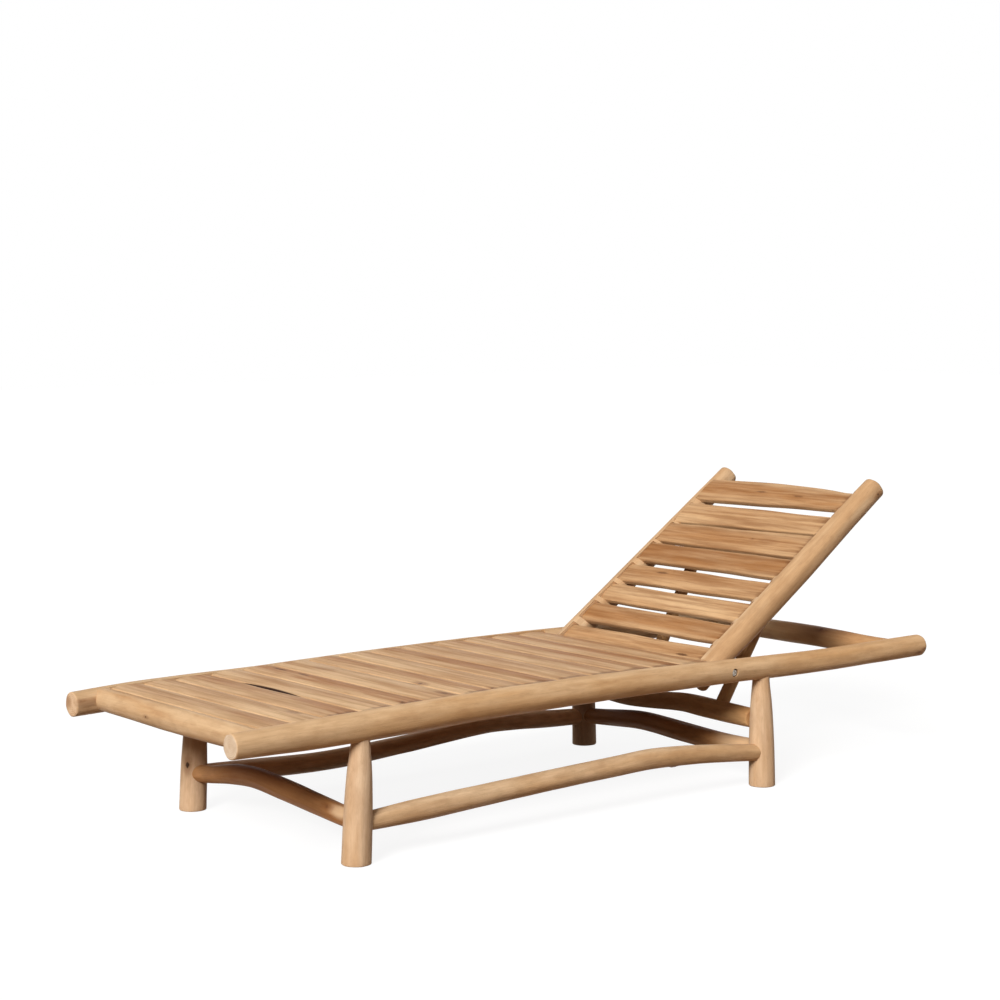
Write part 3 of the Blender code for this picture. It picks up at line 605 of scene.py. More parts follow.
def scribed_end(branch, at_start, host, tenon_radius, tenon_depth):
    """End scribed to the round side of another branch, from the tip of its hidden tenon outwards."""
    near = branch.start if at_start else branch.start + branch.axis * branch.length
    reach = host.girth(host.share_of(near))
    inward = branch.axis if at_start else -branch.axis
    clear = reach + scribe_clear
    shoulder_share = branch.from_end(at_start, clear)
    shoulder = skin_ring(branch, shoulder_share)
    foot = branch.centre(shoulder_share) - inward * clear
    tip = circle(branch, foot + inward * (reach - tenon_depth), tenon_radius)
    across_host = inward - host.axis * inward.dot(host.axis)
    scribed = []
    for point in shoulder:
        distance = 0.0
        for _ in range(6):
            moved = point + inward * distance
            share = host.share_of(moved)
            offset = moved - host.centre(share)
            offset -= host.axis * offset.dot(host.axis)
            along = offset.dot(across_host.normalized())
            beside = offset.length_squared - along * along
            radius = host.girth(share) - scribe_sink
            wanted = math.sqrt(max(radius * radius - beside, (0.45 * radius) ** 2))
            distance += (wanted - along) / across_host.length
        scribed.append(point + inward * distance)
    return [tip, scribed, shoulder], clear


def scribed_ends(branch, first, second, *tenon):
    """Both ends of a branch that is tenoned between two others."""
    return scribed_end(branch, True, first, *tenon), scribed_end(branch, False, second, *tenon)


cross_teak = peeled_teak(
    "cross_rail_teak",
    ((216, 182, 142), (200, 156, 110), (156, 110, 70)),
    (
        ((6.092, 0.0271, -0.0017), 0.0034, 0.7, 0.4, 0.0),
        ((7.832, 0.0115, 0.0212), 0.0070, 0.9, 0.6, 0.0),
        # The wide patch without a heart is painted shade: the backrest's shadow on the head cross rail
        ((7.850, 0.0, 0.055), 0.0420, 0.0, 0.65, 0.0),
    ),
)
for name, x, stations, tenon_radius, seed in (
    ("foot_cross_rail", foot_cross_x, foot_cross_stations, 0.0100, 3.0),
    ("head_cross_rail", head_cross_x, head_cross_stations, 0.0140, 4.0),
):
    z = rail_top_axis(x)
    pole = Branch((x, -rail_half_spacing, z), (x, rail_half_spacing, z), stations, (-1, 0, 0), seed)
    ends = scribed_ends(pole, rails["left"], rails["right"], tenon_radius, cross_tenon_depth)
    cuts = []
    if x == foot_cross_x:
        stops = (rebate_from, rebate_from + cutter_reach)
        cuts.append([rebate_ring(stop, -past_rails, past_rails) for stop in stops])
    piece = branch_piece(name, pole, ends, cross_teak, cuts)
    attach(piece, "frame")
    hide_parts(name)

# Legs
# Four stout branches stand on their sawn feet. Each is whittled narrower towards the top,
# where it is tenoned up into its side rail.
leg_tenon_radius = 0.0125
leg_tenon_depth = 0.032
# Share of a leg's length and its girth radius there
leg_girths = ((0.0, 0.031), (0.35, 0.0298), (0.55, 0.0277), (0.72, 0.0248), (0.89, 0.02), (1.0, 0.019))
leg_teak = peeled_teak(
    "leg_teak",
    ((227, 196, 162), (214, 176, 136), (168, 124, 86)),
    (
        ((11.5054, -0.0258, -0.0142), 0.0066, 0.95, 0.5, 0.0),
        # The two wide patches without a heart are painted shade: the seat's shadow on the upper right foot
        # leg and upper right head leg
        ((11.6200, 0.0, 0.0), 0.0280, 0.0, 0.3, 0.0),
        ((15.4000, 0.0, 0.0), 0.0400, 0.0, 0.9, 0.0),
    ),
)
legs = {}
for place, x, lean, first_seed in (("foot", -0.705, 0.015, 5.0), ("head", 0.453, -0.006, 7.0)):
    stations = [(share, lean * share, 0.0, girth) for share, girth in leg_girths]
    for later, (hand, side) in enumerate(hand_sides.items()):
        y = -side * rail_half_spacing
        leg = Branch((x, y, 0), (x, y, rail_top_axis(x + lean)), stations, (1, 0, 0), first_seed + later)
        legs[place, hand] = leg
        top = scribed_end(leg, False, rails[hand], leg_tenon_radius, leg_tenon_depth)
        name = f"leg_{place}_{hand}"
        piece = branch_piece(name, leg, (sawn_end(leg, True, foot_end_ease), top), leg_teak)
        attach(piece, "frame")
        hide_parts(name)

# Stretchers
# Four crooked branches tie the legs together just above the ground, each bent as it grew.
# Their trimmed ends are tenoned into the legs.
stretcher_tenon_radius = 0.0110
stretcher_tenon_depth = 0.0155
# Each bend of a stretcher: share of its length, rise, girth radius
left_bends = (
    (0.00, 0.0000, 0.0190),
    (0.14, 0.0060, 0.0233),
    (0.42, 0.0180, 0.0222),
    (0.60, 0.0232, 0.0224),
    (0.70, 0.0258, 0.0232),
    (0.83, 0.0165, 0.0219),
    (1.00, -0.0045, 0.0196),
)
right_bends = (
    (0.00, 0.0020, 0.0195),
    (0.11, -0.0055, 0.0218),
    (0.30, -0.0152, 0.0226),
    (0.50, -0.0060, 0.0214),
    (0.72, 0.0112, 0.0222),
    (0.80, 0.0090, 0.0226),
    (0.87, 0.0035, 0.0224),
    (0.92, -0.0005, 0.0216),
    (1.00, -0.0060, 0.0196),
)
foot_bends = (
    (0.00, -0.0015, 0.0198),
    (0.08, 0.0020, 0.0210),
    (0.43, 0.0200, 0.0228),
    (0.60, 0.0256, 0.0222),
    (0.74, 0.0185, 0.0223),
    (0.91, 0.0005, 0.0192),
    (1.00, -0.0060, 0.0184),
)
head_bends = (
    (0.00, 0.0035, 0.0212),
    (0.20, 0.0012, 0.0222),
    (0.40, 0.0046, 0.0238),
    (0.61, 0.0112, 0.0228),
    (0.72, 0.0090, 0.0220),
    (0.91, -0.0030, 0.0198),
    (1.00, -0.0070, 0.0186),
)
# The left one has a knot: distance along it, turn round it, height, width
left_lump = ((0.868, -1.5, 0.003, 0.010),)
# The stretcher finishes are lit and shaded copies of one teak: the left and right ones are painted paler as
# painted light, the end ones darker as painted shade
left_stretcher_lit_teak = peeled_teak(
    "left_stretcher_lit_teak",
    ((232, 200, 162), (214, 172, 126), (152, 106, 66)),
    (((17.968, -0.0040, -0.0240), 0.0070, 0.5, 0.6, 0.0),),
)
right_stretcher_lit_teak = peeled_teak(
    "right_stretcher_lit_teak",
    ((236, 188, 142), (220, 160, 108), (152, 96, 56)),
)
end_stretcher_shaded_teak = peeled_teak(
    "end_stretcher_shaded_teak",
    ((206, 152, 100), (170, 114, 66), (108, 66, 36)),
    (
        ((20.985, 0.0188, 0.0139), 0.0060, 0.3, 0.5, 0.0),
        # The three wide patches without a heart are painted shade: the seat's shadow on the top of the foot
        # stretcher's middle and of the head stretcher's far part
        ((21.080, 0.0, 0.050), 0.0430, 0.0, 0.5, 0.0),
        ((21.280, 0.0, 0.050), 0.0460, 0.0, 0.9, 0.0),
        ((23.300, 0.0, 0.050), 0.0450, 0.0, 0.8, 0.0),
    ),
    (
        ((20.940, 0.0160, 0.0139), 0.0100, 0.0, 0.6, 0.0),
        ((22.870, 0.0120, 0.0120), 0.0180, 0.0, 0.45, 0.0),
    ),
)


def leg_axis(leg, height):
    """Middle of a leg at a height above the ground."""
    return leg.centre(height / leg.length)


for place, height, bends, seed, lumps, teak in (
    ("left", 0.083, left_bends, 9.0, left_lump, left_stretcher_lit_teak),
    ("right", 0.078, right_bends, 10.0, (), right_stretcher_lit_teak),
    ("foot", 0.088, foot_bends, 11.0, (), end_stretcher_shaded_teak),
    ("head", 0.082, head_bends, 12.0, (), end_stretcher_shaded_teak),
):
    if place in hand_sides:
        first, second, sideways = legs["foot", place], legs["head", place], (0, 1, 0)
    else:
        first, second, sideways = legs[place, "left"], legs[place, "right"], (-1, 0, 0)
    stations = [(share, 0.0, rise, girth) for share, rise, girth in bends]
    pole = Branch(leg_axis(first, height), leg_axis(second, height), stations, sideways, seed, lumps)
    ends = scribed_ends(pole, first, second, stretcher_tenon_radius, stretcher_tenon_depth)
    name = "stretcher_" + place
    piece = branch_piece(name, pole, ends, teak)
    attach(piece, "frame")
    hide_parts(name)

# Seat slats
# Fourteen sawn teak boards of uneven width lie across the chaise, their ends in the rails' rebates.
# Their tops are planed to a low crown, and each shows its own share of pale sapwood and brown heartwood.
seat_from = foot_cross_x + 0.0230
seat_to = hinge_x - 0.026
slat_thickness = 0.016
slat_gap = 0.0030
slat_ease = 0.0038
slat_crown = 0.0031
slat_rise = 0.0085
slat_end_clear = 0.0012
slat_end_spread = 0.0006
edge_wander = 0.0010
board_ripple = 0.00035
sawn_ring_width = 0.0055
# Where the painted shade line at the left ends of the seat slats lies, by the edge of the left rail
end_shade_y = -0.2790
# Two neighbouring slats are hollowed where their edges meet, which leaves a slit whose dark edges are
# painted shade of the crack together with its dark stain
slit_slat = 3
slit_from = 0.410
slit_to = 0.790
slit_depth = 0.0030
slit_shade = 0.0034
slit_fade = 0.0012
# Each slat: relative width, tone, where its brown heartwood begins and ends across the width, strength of
# the brown, strength of the painted shade at the end by the left rail
seat_slats = (
    (81, 0.02, 0.37, 0.84, 0.55, 0.0),
    (80, 0.00, 0.50, 0.88, 0.35, 0.0),
    (92, 0.04, 0.38, 0.97, 0.85, 0.6),
    (86, 0.00, 0.42, 1.10, 0.28, 0.5),
    (80, 0.04, 0.28, 1.10, 0.85, 0.6),
    (96, 0.02, 0.35, 1.10, 0.30, 0.2),
    (85, 0.04, 0.47, 0.92, 0.80, 0.6),
    (90, 0.04, 0.40, 1.10, 0.28, 0.3),
    (90, 0.10, 0.42, 0.97, 0.88, 0.55),
    (96, 0.14, 0.47, 0.92, 0.52, 0.5),
    (91, 0.16, 0.46, 1.10, 0.58, 0.6),
    (89, 0.17, 0.50, 1.10, 0.80, 0.6),
    (87, 0.18, 0.40, 1.10, 0.82, 0.6),
    (83, 0.18, 0.50, 1.10, 0.55, 0.4),
)
corner_steps = 5
crown_steps = 13
board_steps = 44
# The ends of a board are eased over these distances by these insets
end_stops = [0.0, 0.0006, 0.0018, 0.004]
end_insets = [0.0012, 0.0005, 0.0001, 0.0]
end_clear = 0.010


def board_section(front, back, inset):
    """Outline of a board, drawn in by an inset: flat below, crowned above, with rounded edges."""
    front += inset
    back -= inset
    ease = slat_ease - inset
    edge_top = slat_thickness - 2 * inset - slat_crown
    outline = []
    for x, z, start in ((back, edge_top, 0), (front, edge_top, 90), (front, 0.0, 180), (back, 0.0, 270)):
        radius = ease if z else 0.5 * ease
        centre_x = x - radius if x == back else x + radius
        centre_z = z - radius if z else radius
        for step in range(corner_steps + 1):
            angle = math.radians(start + 90 * step / corner_steps)
            outline.append((centre_x + radius * math.cos(angle), centre_z + radius * math.sin(angle)))
        if start in (0, 180):
            other = front + radius if x == back else back - radius
            for step in range(1, crown_steps):
                share = step / crown_steps
                lift = slat_crown * 4 * share * (1 - share) if z else 0.0
                outline.append((centre_x + (other - centre_x) * share, z + lift))
    return outline


def board_piece(name, half_length, edges, seed):
    """Board along Y; edges gives its front and back edge at each share of its length."""
    length = 2 * half_length
    run = length - 2 * end_clear
    inner = [end_clear + run * step / board_steps for step in range(board_steps + 1)]
    distances = end_stops + inner + [length - stop for stop in reversed(end_stops)]
    insets = end_insets + [0.0] * len(inner) + end_insets[::-1]
    rings = []
    for distance, inset in zip(distances, insets):
        y = distance - half_length
        front, back = edges(distance / length)
        ring = []
        for x, z in board_section(front, back, inset):
            lift = board_ripple * noise.noise(Vector((30.0 * x, 6.0 * y, seed)))
            ring.append(Vector((x, y, z + inset + (lift if z > 0.5 * slat_thickness else 0.0))))
        rings.append(ring)
    return loft(name + "_teak", rings)


def board_grain(timber, half_length, middle=0.0):
    """Where a point lies in a board's log: along it, beside and above its pith, and from the ends."""
    shift, pith_side, pith_depth = timber

    def grain_of(point):
        from_end = half_length - abs(point.y)
        return (point.y + shift, point.x - middle + pith_side, point.z + pith_depth, from_end)

    return grain_of


def board_marks(marks, timber_of, widths):
    """Marks set in the logs of their boards; each has a board, share across, y, size and strengths."""
    placed = []
    for number, across, y, *looks in marks:
        shift, pith_side, pith_depth = timber_of(number)
        offset = (across - 0.5) * widths[number - 1]
        placed.append(((y + shift, offset + pith_side, slat_thickness + pith_depth), *looks))
    return placed


def sawn_teak(name, colours, streaked, knots):
    """Finish of a sawn board: pale ground, flat-sawn rings, a brown band of heartwood, fibres and pores,
    with painted shade at its left end and along the edges of a slit.
    """
    pale, brown, dark = colours
    material, tree, grain, figure = teak_finish(name, sawn_ring_width)
    heart = node(tree, "ShaderNodeSeparateXYZ", {0: noted(tree, "heart", "Vector")}).outputs
    drift = noise_level(tree, grain, (3.5, 22.0, 22.0), 3.0)["Fac"]
    fade = noise_level(tree, grain, (5.0, 30.0, 30.0), 2.0)["Fac"]
    band = maths(tree, "MULTIPLY", ramp_level(tree, fade, 0.30, 0.62, 0.45, 1.0), heart["Z"])
    for side_share in ("X", "Y"):
        drifted = maths(tree, "MULTIPLY_ADD", drift, 0.40, heart[side_share])
        band = maths(tree, "MULTIPLY", band, ramp_level(tree, drifted, 0.06, 0.32))
    colour = lay_over(tree, figure, pale, (("Clouds", 0.35, brown),))
    colour = blend_colour(tree, band, colour, brown)
    layers = (
        ("Streaks", streaked, dark),
        ("Rings", 0.14, dark),
        ("Fibres", 0.16, dark),
        ("Pores", 0.18, (86, 52, 30)),
    )
    colour = lay_over(tree, figure, colour, layers)
    colour = blend_colour(tree, noted(tree, "tone_and_shade"), colour, dark)
    # Painted shade: a dark line across the slat where its left end meets the rail or pole
    end_and_slit_shade = node(tree, "ShaderNodeSeparateXYZ", {0: noted(tree, "end_and_slit_shade", "Vector")}).outputs
    end_shade_place = maths(tree, "MULTIPLY_ADD", figure["Streaks"], -0.014, end_and_slit_shade["Y"])
    end_shade_zone = ramp_level(tree, end_shade_place, -0.006, 0.009, 0.85, 0.0)
    colour = blend_colour(tree, maths(tree, "MULTIPLY", end_shade_zone, end_and_slit_shade["X"]), colour, (92, 54, 28))
    # Painted shade and dark stain along the edges of the slit
    colour = blend_colour(tree, end_and_slit_shade["Z"], colour, (46, 24, 12))
    colour = add_marks(tree, grain, colour, knots, (122, 74, 40), (60, 32, 16))
    sand_teak(tree, figure, colour, 0.48, 0.64)
    return material


def mark_heart(piece, front, back, begin, end, strength):
    """Note how far each point of a board lies inside its band of brown heartwood, from either side."""
    spots = []
    for vertex in piece.data.vertices:
        share = (vertex.co.x - front) / (back - front)
        spots += (share - begin, end - share, strength)
    note_points(piece, "heart", "FLOAT_VECTOR", spots)


def slit_opening(share):
    """How far the slit is open at a share of a slat's length: 1 in its middle, 0 beyond its ends."""
    if not slit_from < share < slit_to:
        return 0.0
    return math.sin(math.pi * (share - slit_from) / (slit_to - slit_from))


def mark_painted_shade(piece, end_shade_strength, end_y, slit_edge=None):
    """Note the painted shade at a slat's left end, how far each point lies from it, and the painted shade
    and stain along the edge of a slit.
    """
    spots = []
    for vertex in piece.data.vertices:
        share = 0.5 + 0.5 * vertex.co.y / rebate_wall
        opening = slit_opening(share) if slit_edge else 0.0
        shade = 0.0
        if opening:
            depth = abs(vertex.co.x - slit_edge(share))
            shade = min(max(0.5 + (slit_shade * opening - depth) / slit_fade, 0.0), 1.0)
        spots += (end_shade_strength, vertex.co.y - end_y, shade)
    note_points(piece, "end_and_slit_shade", "FLOAT_VECTOR", spots)


def slat_timber(number):
    """Where a seat slat lay in its log: along it, and the pith's place beside and below the slat."""
    return 1.7 * number, 0.03 * math.sin(2.3 * number), 0.035 + 0.02 * math.cos(1.7 * number)


slat_unit = (seat_to - seat_from) / sum(slat[0] for slat in seat_slats)
slat_widths = [slat[0] * slat_unit for slat in seat_slats]
# Knots, streaks and smears: slat, share across it, y, size, strengths of heart, stain and streak
slat_marks = (
    (2, 0.71, -0.200, 0.0070, 0.0, 0.5, 0.0),
    (5, 0.68, 0.238, 0.0044, 0.0, 0.5, 0.9),
    (5, 0.68, 0.144, 0.0036, 0.0, 0.4, 0.8),
    (5, 0.31, -0.267, 0.0050, 0.8, 0.4, 0.0),
    (6, 0.53, 0.171, 0.0110, 0.0, 0.3, 0.0),
    (6, 0.93, -0.105, 0.0060, 0.2, 0.6, 0.0),
    (6, 0.71, -0.250, 0.0085, 0.5, 0.6, 0.0),
    (7, 0.09, -0.116, 0.0075, 0.6, 0.5, 0.0),
    (8, 0.06, -0.263, 0.0060, 0.9, 0.4, 0.0),
)
seat_teak = sawn_teak(
    "seat_slat_teak",
    ((232, 195, 150), (172, 116, 66), (130, 82, 46)),
    0.36,
    board_marks(slat_marks, slat_timber, slat_widths),
)
edge = seat_from
for number, (_, tone_and_shade, *heart, end_shade) in enumerate(seat_slats, 1):
    low = edge + 0.5 * slat_gap
    edge += slat_widths[number - 1]
    high = edge - 0.5 * slat_gap
    middle = 0.5 * (low + high)
    half_width = 0.5 * (high - low)
    slope = (rail_top_axis(high) - rail_top_axis(low)) / (high - low)
    half_length = rebate_wall - slat_end_clear - slat_end_spread * math.sin(2.9 * number)

    def slat_edges(share):
        front = -half_width + edge_wander * noise.noise(Vector((3.0 * share, 5.1 * number, 0.0)))
        back = half_width + edge_wander * noise.noise(Vector((3.0 * share, 5.1 * number, 9.0)))
        if number == slit_slat:
            back -= slit_depth * slit_opening(share)
        elif number == slit_slat + 1:
            front += slit_depth * slit_opening(share)
        return front, back

    name = f"seat_slat_{number:02d}"
    piece = board_piece(name, half_length, slat_edges, number)
    mark_heart(piece, -half_width, half_width, *heart)
    slit_edge = (lambda share: slat_edges(share)[0]) if number == slit_slat + 1 else None
    mark_painted_shade(piece, end_shade, end_shade_y, slit_edge)
    seat_place = Matrix.Translation((middle, 0, rail_top_axis(middle) + slat_rise))
    seat_place = seat_place @ Matrix.Rotation(-math.atan(slope), 4, "Y")
    finish_wood(piece, board_grain(slat_timber(number), half_length), seat_teak, seat_place, tone_and_shade)
    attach(piece, "frame")
    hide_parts(name)

# Back poles
# The backrest hangs on two stout branches that turn on the hinge bolts just inside the rails.
# Their lower ends are sawn plumb, and notches in their inner tops hold the ends of the back slats.
back_tilt = math.radians(35.2)
back_place = Matrix.Translation((hinge_x, 0, hinge_z)) @ Matrix.Rotation(-back_tilt, 4, "Y")
back_gap = 0.0044
back_tail = 0.075
back_length = 0.679
right_back_extra = 0.007
back_stub = 0.020
waste_from = -0.150
back_stations = {
    "left": (
        (0.00, 0.000, 0.0000, 0.0312),
        (0.12, 0.000, 0.0000, 0.0308),
        (0.30, -0.0015, -0.0010, 0.0310),
        (0.60, -0.0030, -0.0018, 0.0308),
        (0.85, -0.0038, -0.0018, 0.0290),
        (1.00, -0.0042, -0.0026, 0.0280),
    ),
    "right": (
        (0.00, 0.000, 0.0000, 0.0304),
        (0.30, 0.000, -0.0025, 0.0290),
        (0.60, 0.000, -0.0045, 0.0275),
        (0.85, 0.000, -0.0060, 0.0260),
        (1.00, 0.000, -0.0065, 0.0250),
    ),
}
# Relative widths of the slats at each pole, from the lowest, and of the gaps above them
back_widths = {"left": (57, 60, 63, 61, 69, 81, 66, 65), "right": (57, 65, 59, 63, 69, 71, 75, 81)}
back_gaps = {"left": (21, 15, 17, 18, 9, 7, 28), "right": (21, 15, 15, 18, 9, 7, 18)}
back_slat_start = 0.010
back_top_bare = 0.047
back_slat_rise = 0.007
back_end_inset = 0.004
notch_fit = 0.0003
back_run = back_slat_start + back_length - back_top_bare
back_unit = back_run / (sum(back_widths["right"]) + sum(back_gaps["right"]))
back_spans = {}
for hand in hand_sides:
    back_spans[hand] = []
    edge = -back_slat_start
    for width, gap in zip(back_widths[hand], (*back_gaps[hand], 0)):
        back_spans[hand].append((edge, edge + width * back_unit))
        edge += (width + gap) * back_unit
back_pole_teak = peeled_teak(
    "back_pole_teak",
    ((215, 183, 146), (202, 162, 120), (152, 110, 72)),
    (((25.431, -0.0265, -0.003), 0.0042, 0.6, 0.5, 0.0),),
)
back_poles = {}
back_walls = {}
for hand, length, seed in (("left", back_length, 13.0), ("right", back_length + right_back_extra, 14.0)):
    side = hand_sides[hand]
    pole = Branch((-back_tail, 0, 0), (length, 0, 0), back_stations[hand], (0, 1, 0), seed)
    hinge_girth = pole.girth(back_tail / (back_tail + length))
    pole.start.y = rail_face(hand, 1) + side * (back_gap + hinge_girth)
    wall = pole.start.y + side * back_end_inset
    back_poles[hand] = pole
    back_walls[hand] = wall
    cuts = []
    for low, high in back_spans[hand]:
        stops = (low - notch_fit, high + notch_fit)
        floor = back_slat_rise - notch_fit
        cuts.append([groove_ring(stop, wall, wall + side * cutter_reach, floor) for stop in stops])
    saw_line = -back_stub / math.cos(back_tilt)
    slant = cutter_reach * math.tan(back_tilt)
    waste = (
        (waste_from, cutter_reach),
        (saw_line + slant, cutter_reach),
        (saw_line - slant, -cutter_reach),
        (waste_from, -cutter_reach),
    )
    waste_sides = (pole.start.y - cutter_reach, pole.start.y + cutter_reach)
    cuts.append([[Vector((x, y, z)) for x, z in waste] for y in waste_sides])
    ends = sawn_end(pole, True, head_end_ease), sawn_end(pole, False, head_end_ease)
    name = "back_pole_" + hand
    piece = branch_piece(name, pole, ends, back_pole_teak, cuts, back_place)
    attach(piece, "backrest")
    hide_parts(name)

# Back slats
# Eight boards with the wavy edges of the log are let into the notches of the back poles.
# The top one is arched along its upper edge.
back_wave = 0.0022
back_top_arch = 0.009
notch_share = 0.07
# Painted shade where the back slats' left ends meet the left pole: its strength, and how far in from the
# end it begins
back_end_shade = 0.45
back_shade_inset = 0.006
# Each slat from the lowest: tone, where its brown heartwood begins and ends, strength of the brown
back_looks = (
    (0.06, 0.30, 0.80, 0.35),
    (0.20, 0.15, 0.85, 0.70),
    (0.04, 0.60, 1.10, 0.25),
    (0.10, 0.45, 0.90, 0.45),
    (0.30, 0.15, 0.90, 0.85),
    (0.14, 0.20, 0.75, 0.60),
    (0.04, 0.40, 0.80, 0.25),
    (0.18, 0.20, 0.80, 0.75),
)
# Knots, streaks and smears, as on the seat slats
back_marks = (
    (1, 0.30, -0.175, 0.0034, 0.0, 0.3, 0.7),
    (4, 0.66, 0.120, 0.0036, 0.0, 0.3, 0.5),
    (6, 0.52, -0.066, 0.0032, 0.4, 0.3, 0.0),
    (6, 0.50, -0.120, 0.0090, 0.0, 0.25, 0.0),
    (8, 0.55, 0.045, 0.0032, 0.0, 0.3, 0.4),
    (8, 0.50, -0.085, 0.0030, 0.0, 0.3, 0.4),
)
back_lows = [min(left[0], right[0]) for left, right in zip(*back_spans.values())]
back_highs = [max(left[1], right[1]) for left, right in zip(*back_spans.values())]


def back_timber(number):
    """Where a back slat lay in its log: along it, and the pith's place beside and below the slat."""
    return 2.3 * number + 30, 0.02 * math.sin(1.9 * number), 0.03 + 0.02 * math.cos(2.7 * number)


back_teak = sawn_teak(
    "back_slat_teak",
    ((218, 180, 136), (174, 118, 64), (120, 72, 34)),
    0.52,
    board_marks(back_marks, back_timber, [high - low for low, high in zip(back_lows, back_highs)]),
)
back_half_length = 0.5 * (back_walls["right"] - back_walls["left"]) - 2 * notch_fit
back_middle = 0.5 * (back_walls["right"] + back_walls["left"])
seat_in_back = back_place @ Matrix.Translation((0, back_middle, back_slat_rise))


def edge_wave(seed, share):
    """Gentle wander of a natural edge, between -1 and 1."""
    slow = math.sin(2 * math.pi * (0.9 * share + 0.37 * seed))
    quick = math.sin(2 * math.pi * (2.1 * share + 0.71 * seed))
    return 0.65 * slow + 0.35 * quick


for number, (left_span, right_span) in enumerate(zip(*back_spans.values()), 1):
    tone_and_shade, *heart = back_looks[number - 1]
    low = back_lows[number - 1]
    high = back_highs[number - 1]
    arch = back_top_arch if number == len(back_looks) else 0.0

    def back_edges(share):
        free = (share - notch_share) / (1 - 2 * notch_share)
        belly = max(4 * free * (1 - free), 0.0)
        turned = min(max(free, 0.0), 1.0)
        front = left_span[0] + (right_span[0] - left_span[0]) * turned
        back = left_span[1] + (right_span[1] - left_span[1]) * turned
        front += back_wave * edge_wave(number, share) * belly
        back += (back_wave * edge_wave(number + 0.5, share) + arch) * belly
        return front, back

    name = f"back_slat_{number:02d}"
    piece = board_piece(name, back_half_length, back_edges, 20 + number)
    mark_heart(piece, low, high, *heart)
    mark_painted_shade(piece, back_end_shade, -back_half_length + back_shade_inset)
    grain_of = board_grain(back_timber(number), back_half_length, 0.5 * (low + high))
    finish_wood(piece, grain_of, back_teak, seat_in_back, tone_and_shade)
    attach(piece, "backrest")
    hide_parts(name)

# Back cross bar
# A straight round bar between the back poles, behind the slats, tenoned into both.
# The tops of the prop sticks bear on it from below.
cross_bar_place = 0.438
cross_bar_drop = 0.012
cross_bar_girth = 0.0178
thin_tenon_radius = 0.009
thin_tenon_depth = 0.016
bar_stations = ((0.0, 0.0, 0.0, cross_bar_girth), (1.0, 0.0, 0.0, cross_bar_girth))
bar_start, bar_end = ((cross_bar_place, pole.start.y, -cross_bar_drop) for pole in back_poles.values())
cross_bar = Branch(bar_start, bar_end, bar_stations, (-1, 0, 0), 15.0)
bar_teak = peeled_teak("cross_bar_teak", ((206, 168, 126), (186, 142, 98), (142, 98, 62)))
ends = scribed_ends(cross_bar, *back_poles.values(), thin_tenon_radius, thin_tenon_depth)
piece = branch_piece("back_cross_bar", cross_bar, ends, bar_teak, place=back_place)
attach(piece, "backrest")
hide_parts("back_cross_bar")

# Hinge hardware
# On each side a round-headed steel bolt sits in a recess of the rail and screws into a threaded insert
# in the back pole. A steel spacer on the bolt keeps the two timbers apart.
bolt_radius = 0.005
bolt_head_radius = 0.0075
bolt_head_height = 0.0072
bolt_crown = 0.0026
bolt_crown_steps = 8
bolt_end_clear = 0.002
bolt_socket_radius = 0.0030
bolt_socket_depth = 0.0028
bolt_socket_turn = 0.4
socket_overrun = 0.004
socket_sides = 6
spacer_radius = 0.012
spacer_ease = 0.0005
insert_radius = 0.008
insert_length = 0.024
insert_sink = 0.001
insert_ease = 0.0008
hardware_fit = 0.0003
steel_sides = 40
insert_sides = 32


def zinc_steel(name, bright, dull):
    """Finish of plated steel: bright and dull patches and fine scratches."""
    material = bpy.data.materials.new(name)
    material.use_nodes = True
    tree = material.node_tree
    shader = tree.nodes["Principled BSDF"]
    place = node(tree, "ShaderNodeTexCoord").outputs["Object"]
    patches = noise_level(tree, place, (260.0, 260.0, 260.0), 3.0)["Fac"]
    scratches = noise_level(tree, place, (2400.0, 300.0, 2400.0), 2.0)["Fac"]
    colour = blend_colour(tree, ramp_level(tree, patches, 0.38, 0.64), bright, dull)
    tree.links.new(colour, shader.inputs["Base Color"])
    shader.inputs["Metallic"].default_value = 1.0
    tree.links.new(ramp_level(tree, scratches, 0.3, 0.7, 0.26, 0.44), shader.inputs["Roughness"])
    bump = node(tree, "ShaderNodeBump", {"Strength": 0.25, "Distance": 0.0001, "Height": scratches})
    tree.links.new(bump.outputs[0], shader.inputs["Normal"])
    return material


def tube_piece(name, face, side, profile, sides):
    """Turned piece with a hole through it, from the outline of its wall."""
    piece = loft(name, turned_rings(face, side, profile + profile[:1], sides))
    bm = bmesh.new()
    bm.from_mesh(piece.data)
    caps = [face for face in bm.faces if len(face.verts) > 4]
    bmesh.ops.delete(bm, geom=caps, context="FACES")
    bmesh.ops.remove_doubles(bm, verts=bm.verts, dist=1e-6)
    bmesh.ops.recalc_face_normals(bm, faces=bm.faces)
    bm.to_mesh(piece.data)
    bm.free()
    return piece


hinge_steel = zinc_steel("hinge_steel", (196, 188, 178), (128, 118, 108))
hole = bolt_radius + hardware_fit
head_seat = bolt_recess_depth - hardware_fit
head_top = head_seat - bolt_head_height
head_profile = []
for step in range(1, bolt_crown_steps + 1):
    turn = 0.5 * math.pi * step / bolt_crown_steps
    drop = bolt_crown * (1 - math.cos(turn))
    head_profile.append((head_top + drop, bolt_head_radius * math.sin(turn)))
head_profile += [(head_seat, bolt_head_radius), (head_seat, bolt_radius)]
socket_ends = (head_top - socket_overrun, head_top + bolt_socket_depth)
socket_profile = [(distance, bolt_socket_radius) for distance in socket_ends]
spacer_end = back_gap - hardware_fit
spacer_profile = (
    (hardware_fit, hole),
    (hardware_fit, spacer_radius - spacer_ease),
    (hardware_fit + spacer_ease, spacer_radius),
    (spacer_end - spacer_ease, spacer_radius),
    (spacer_end, spacer_radius - spacer_ease),
    (spacer_end, hole),
)
insert_profile = (
    (insert_sink, hole),
    (insert_sink, insert_radius - insert_ease),
    (2 * insert_sink, insert_radius),
    (insert_length, insert_radius),
    (insert_length, hole),
)
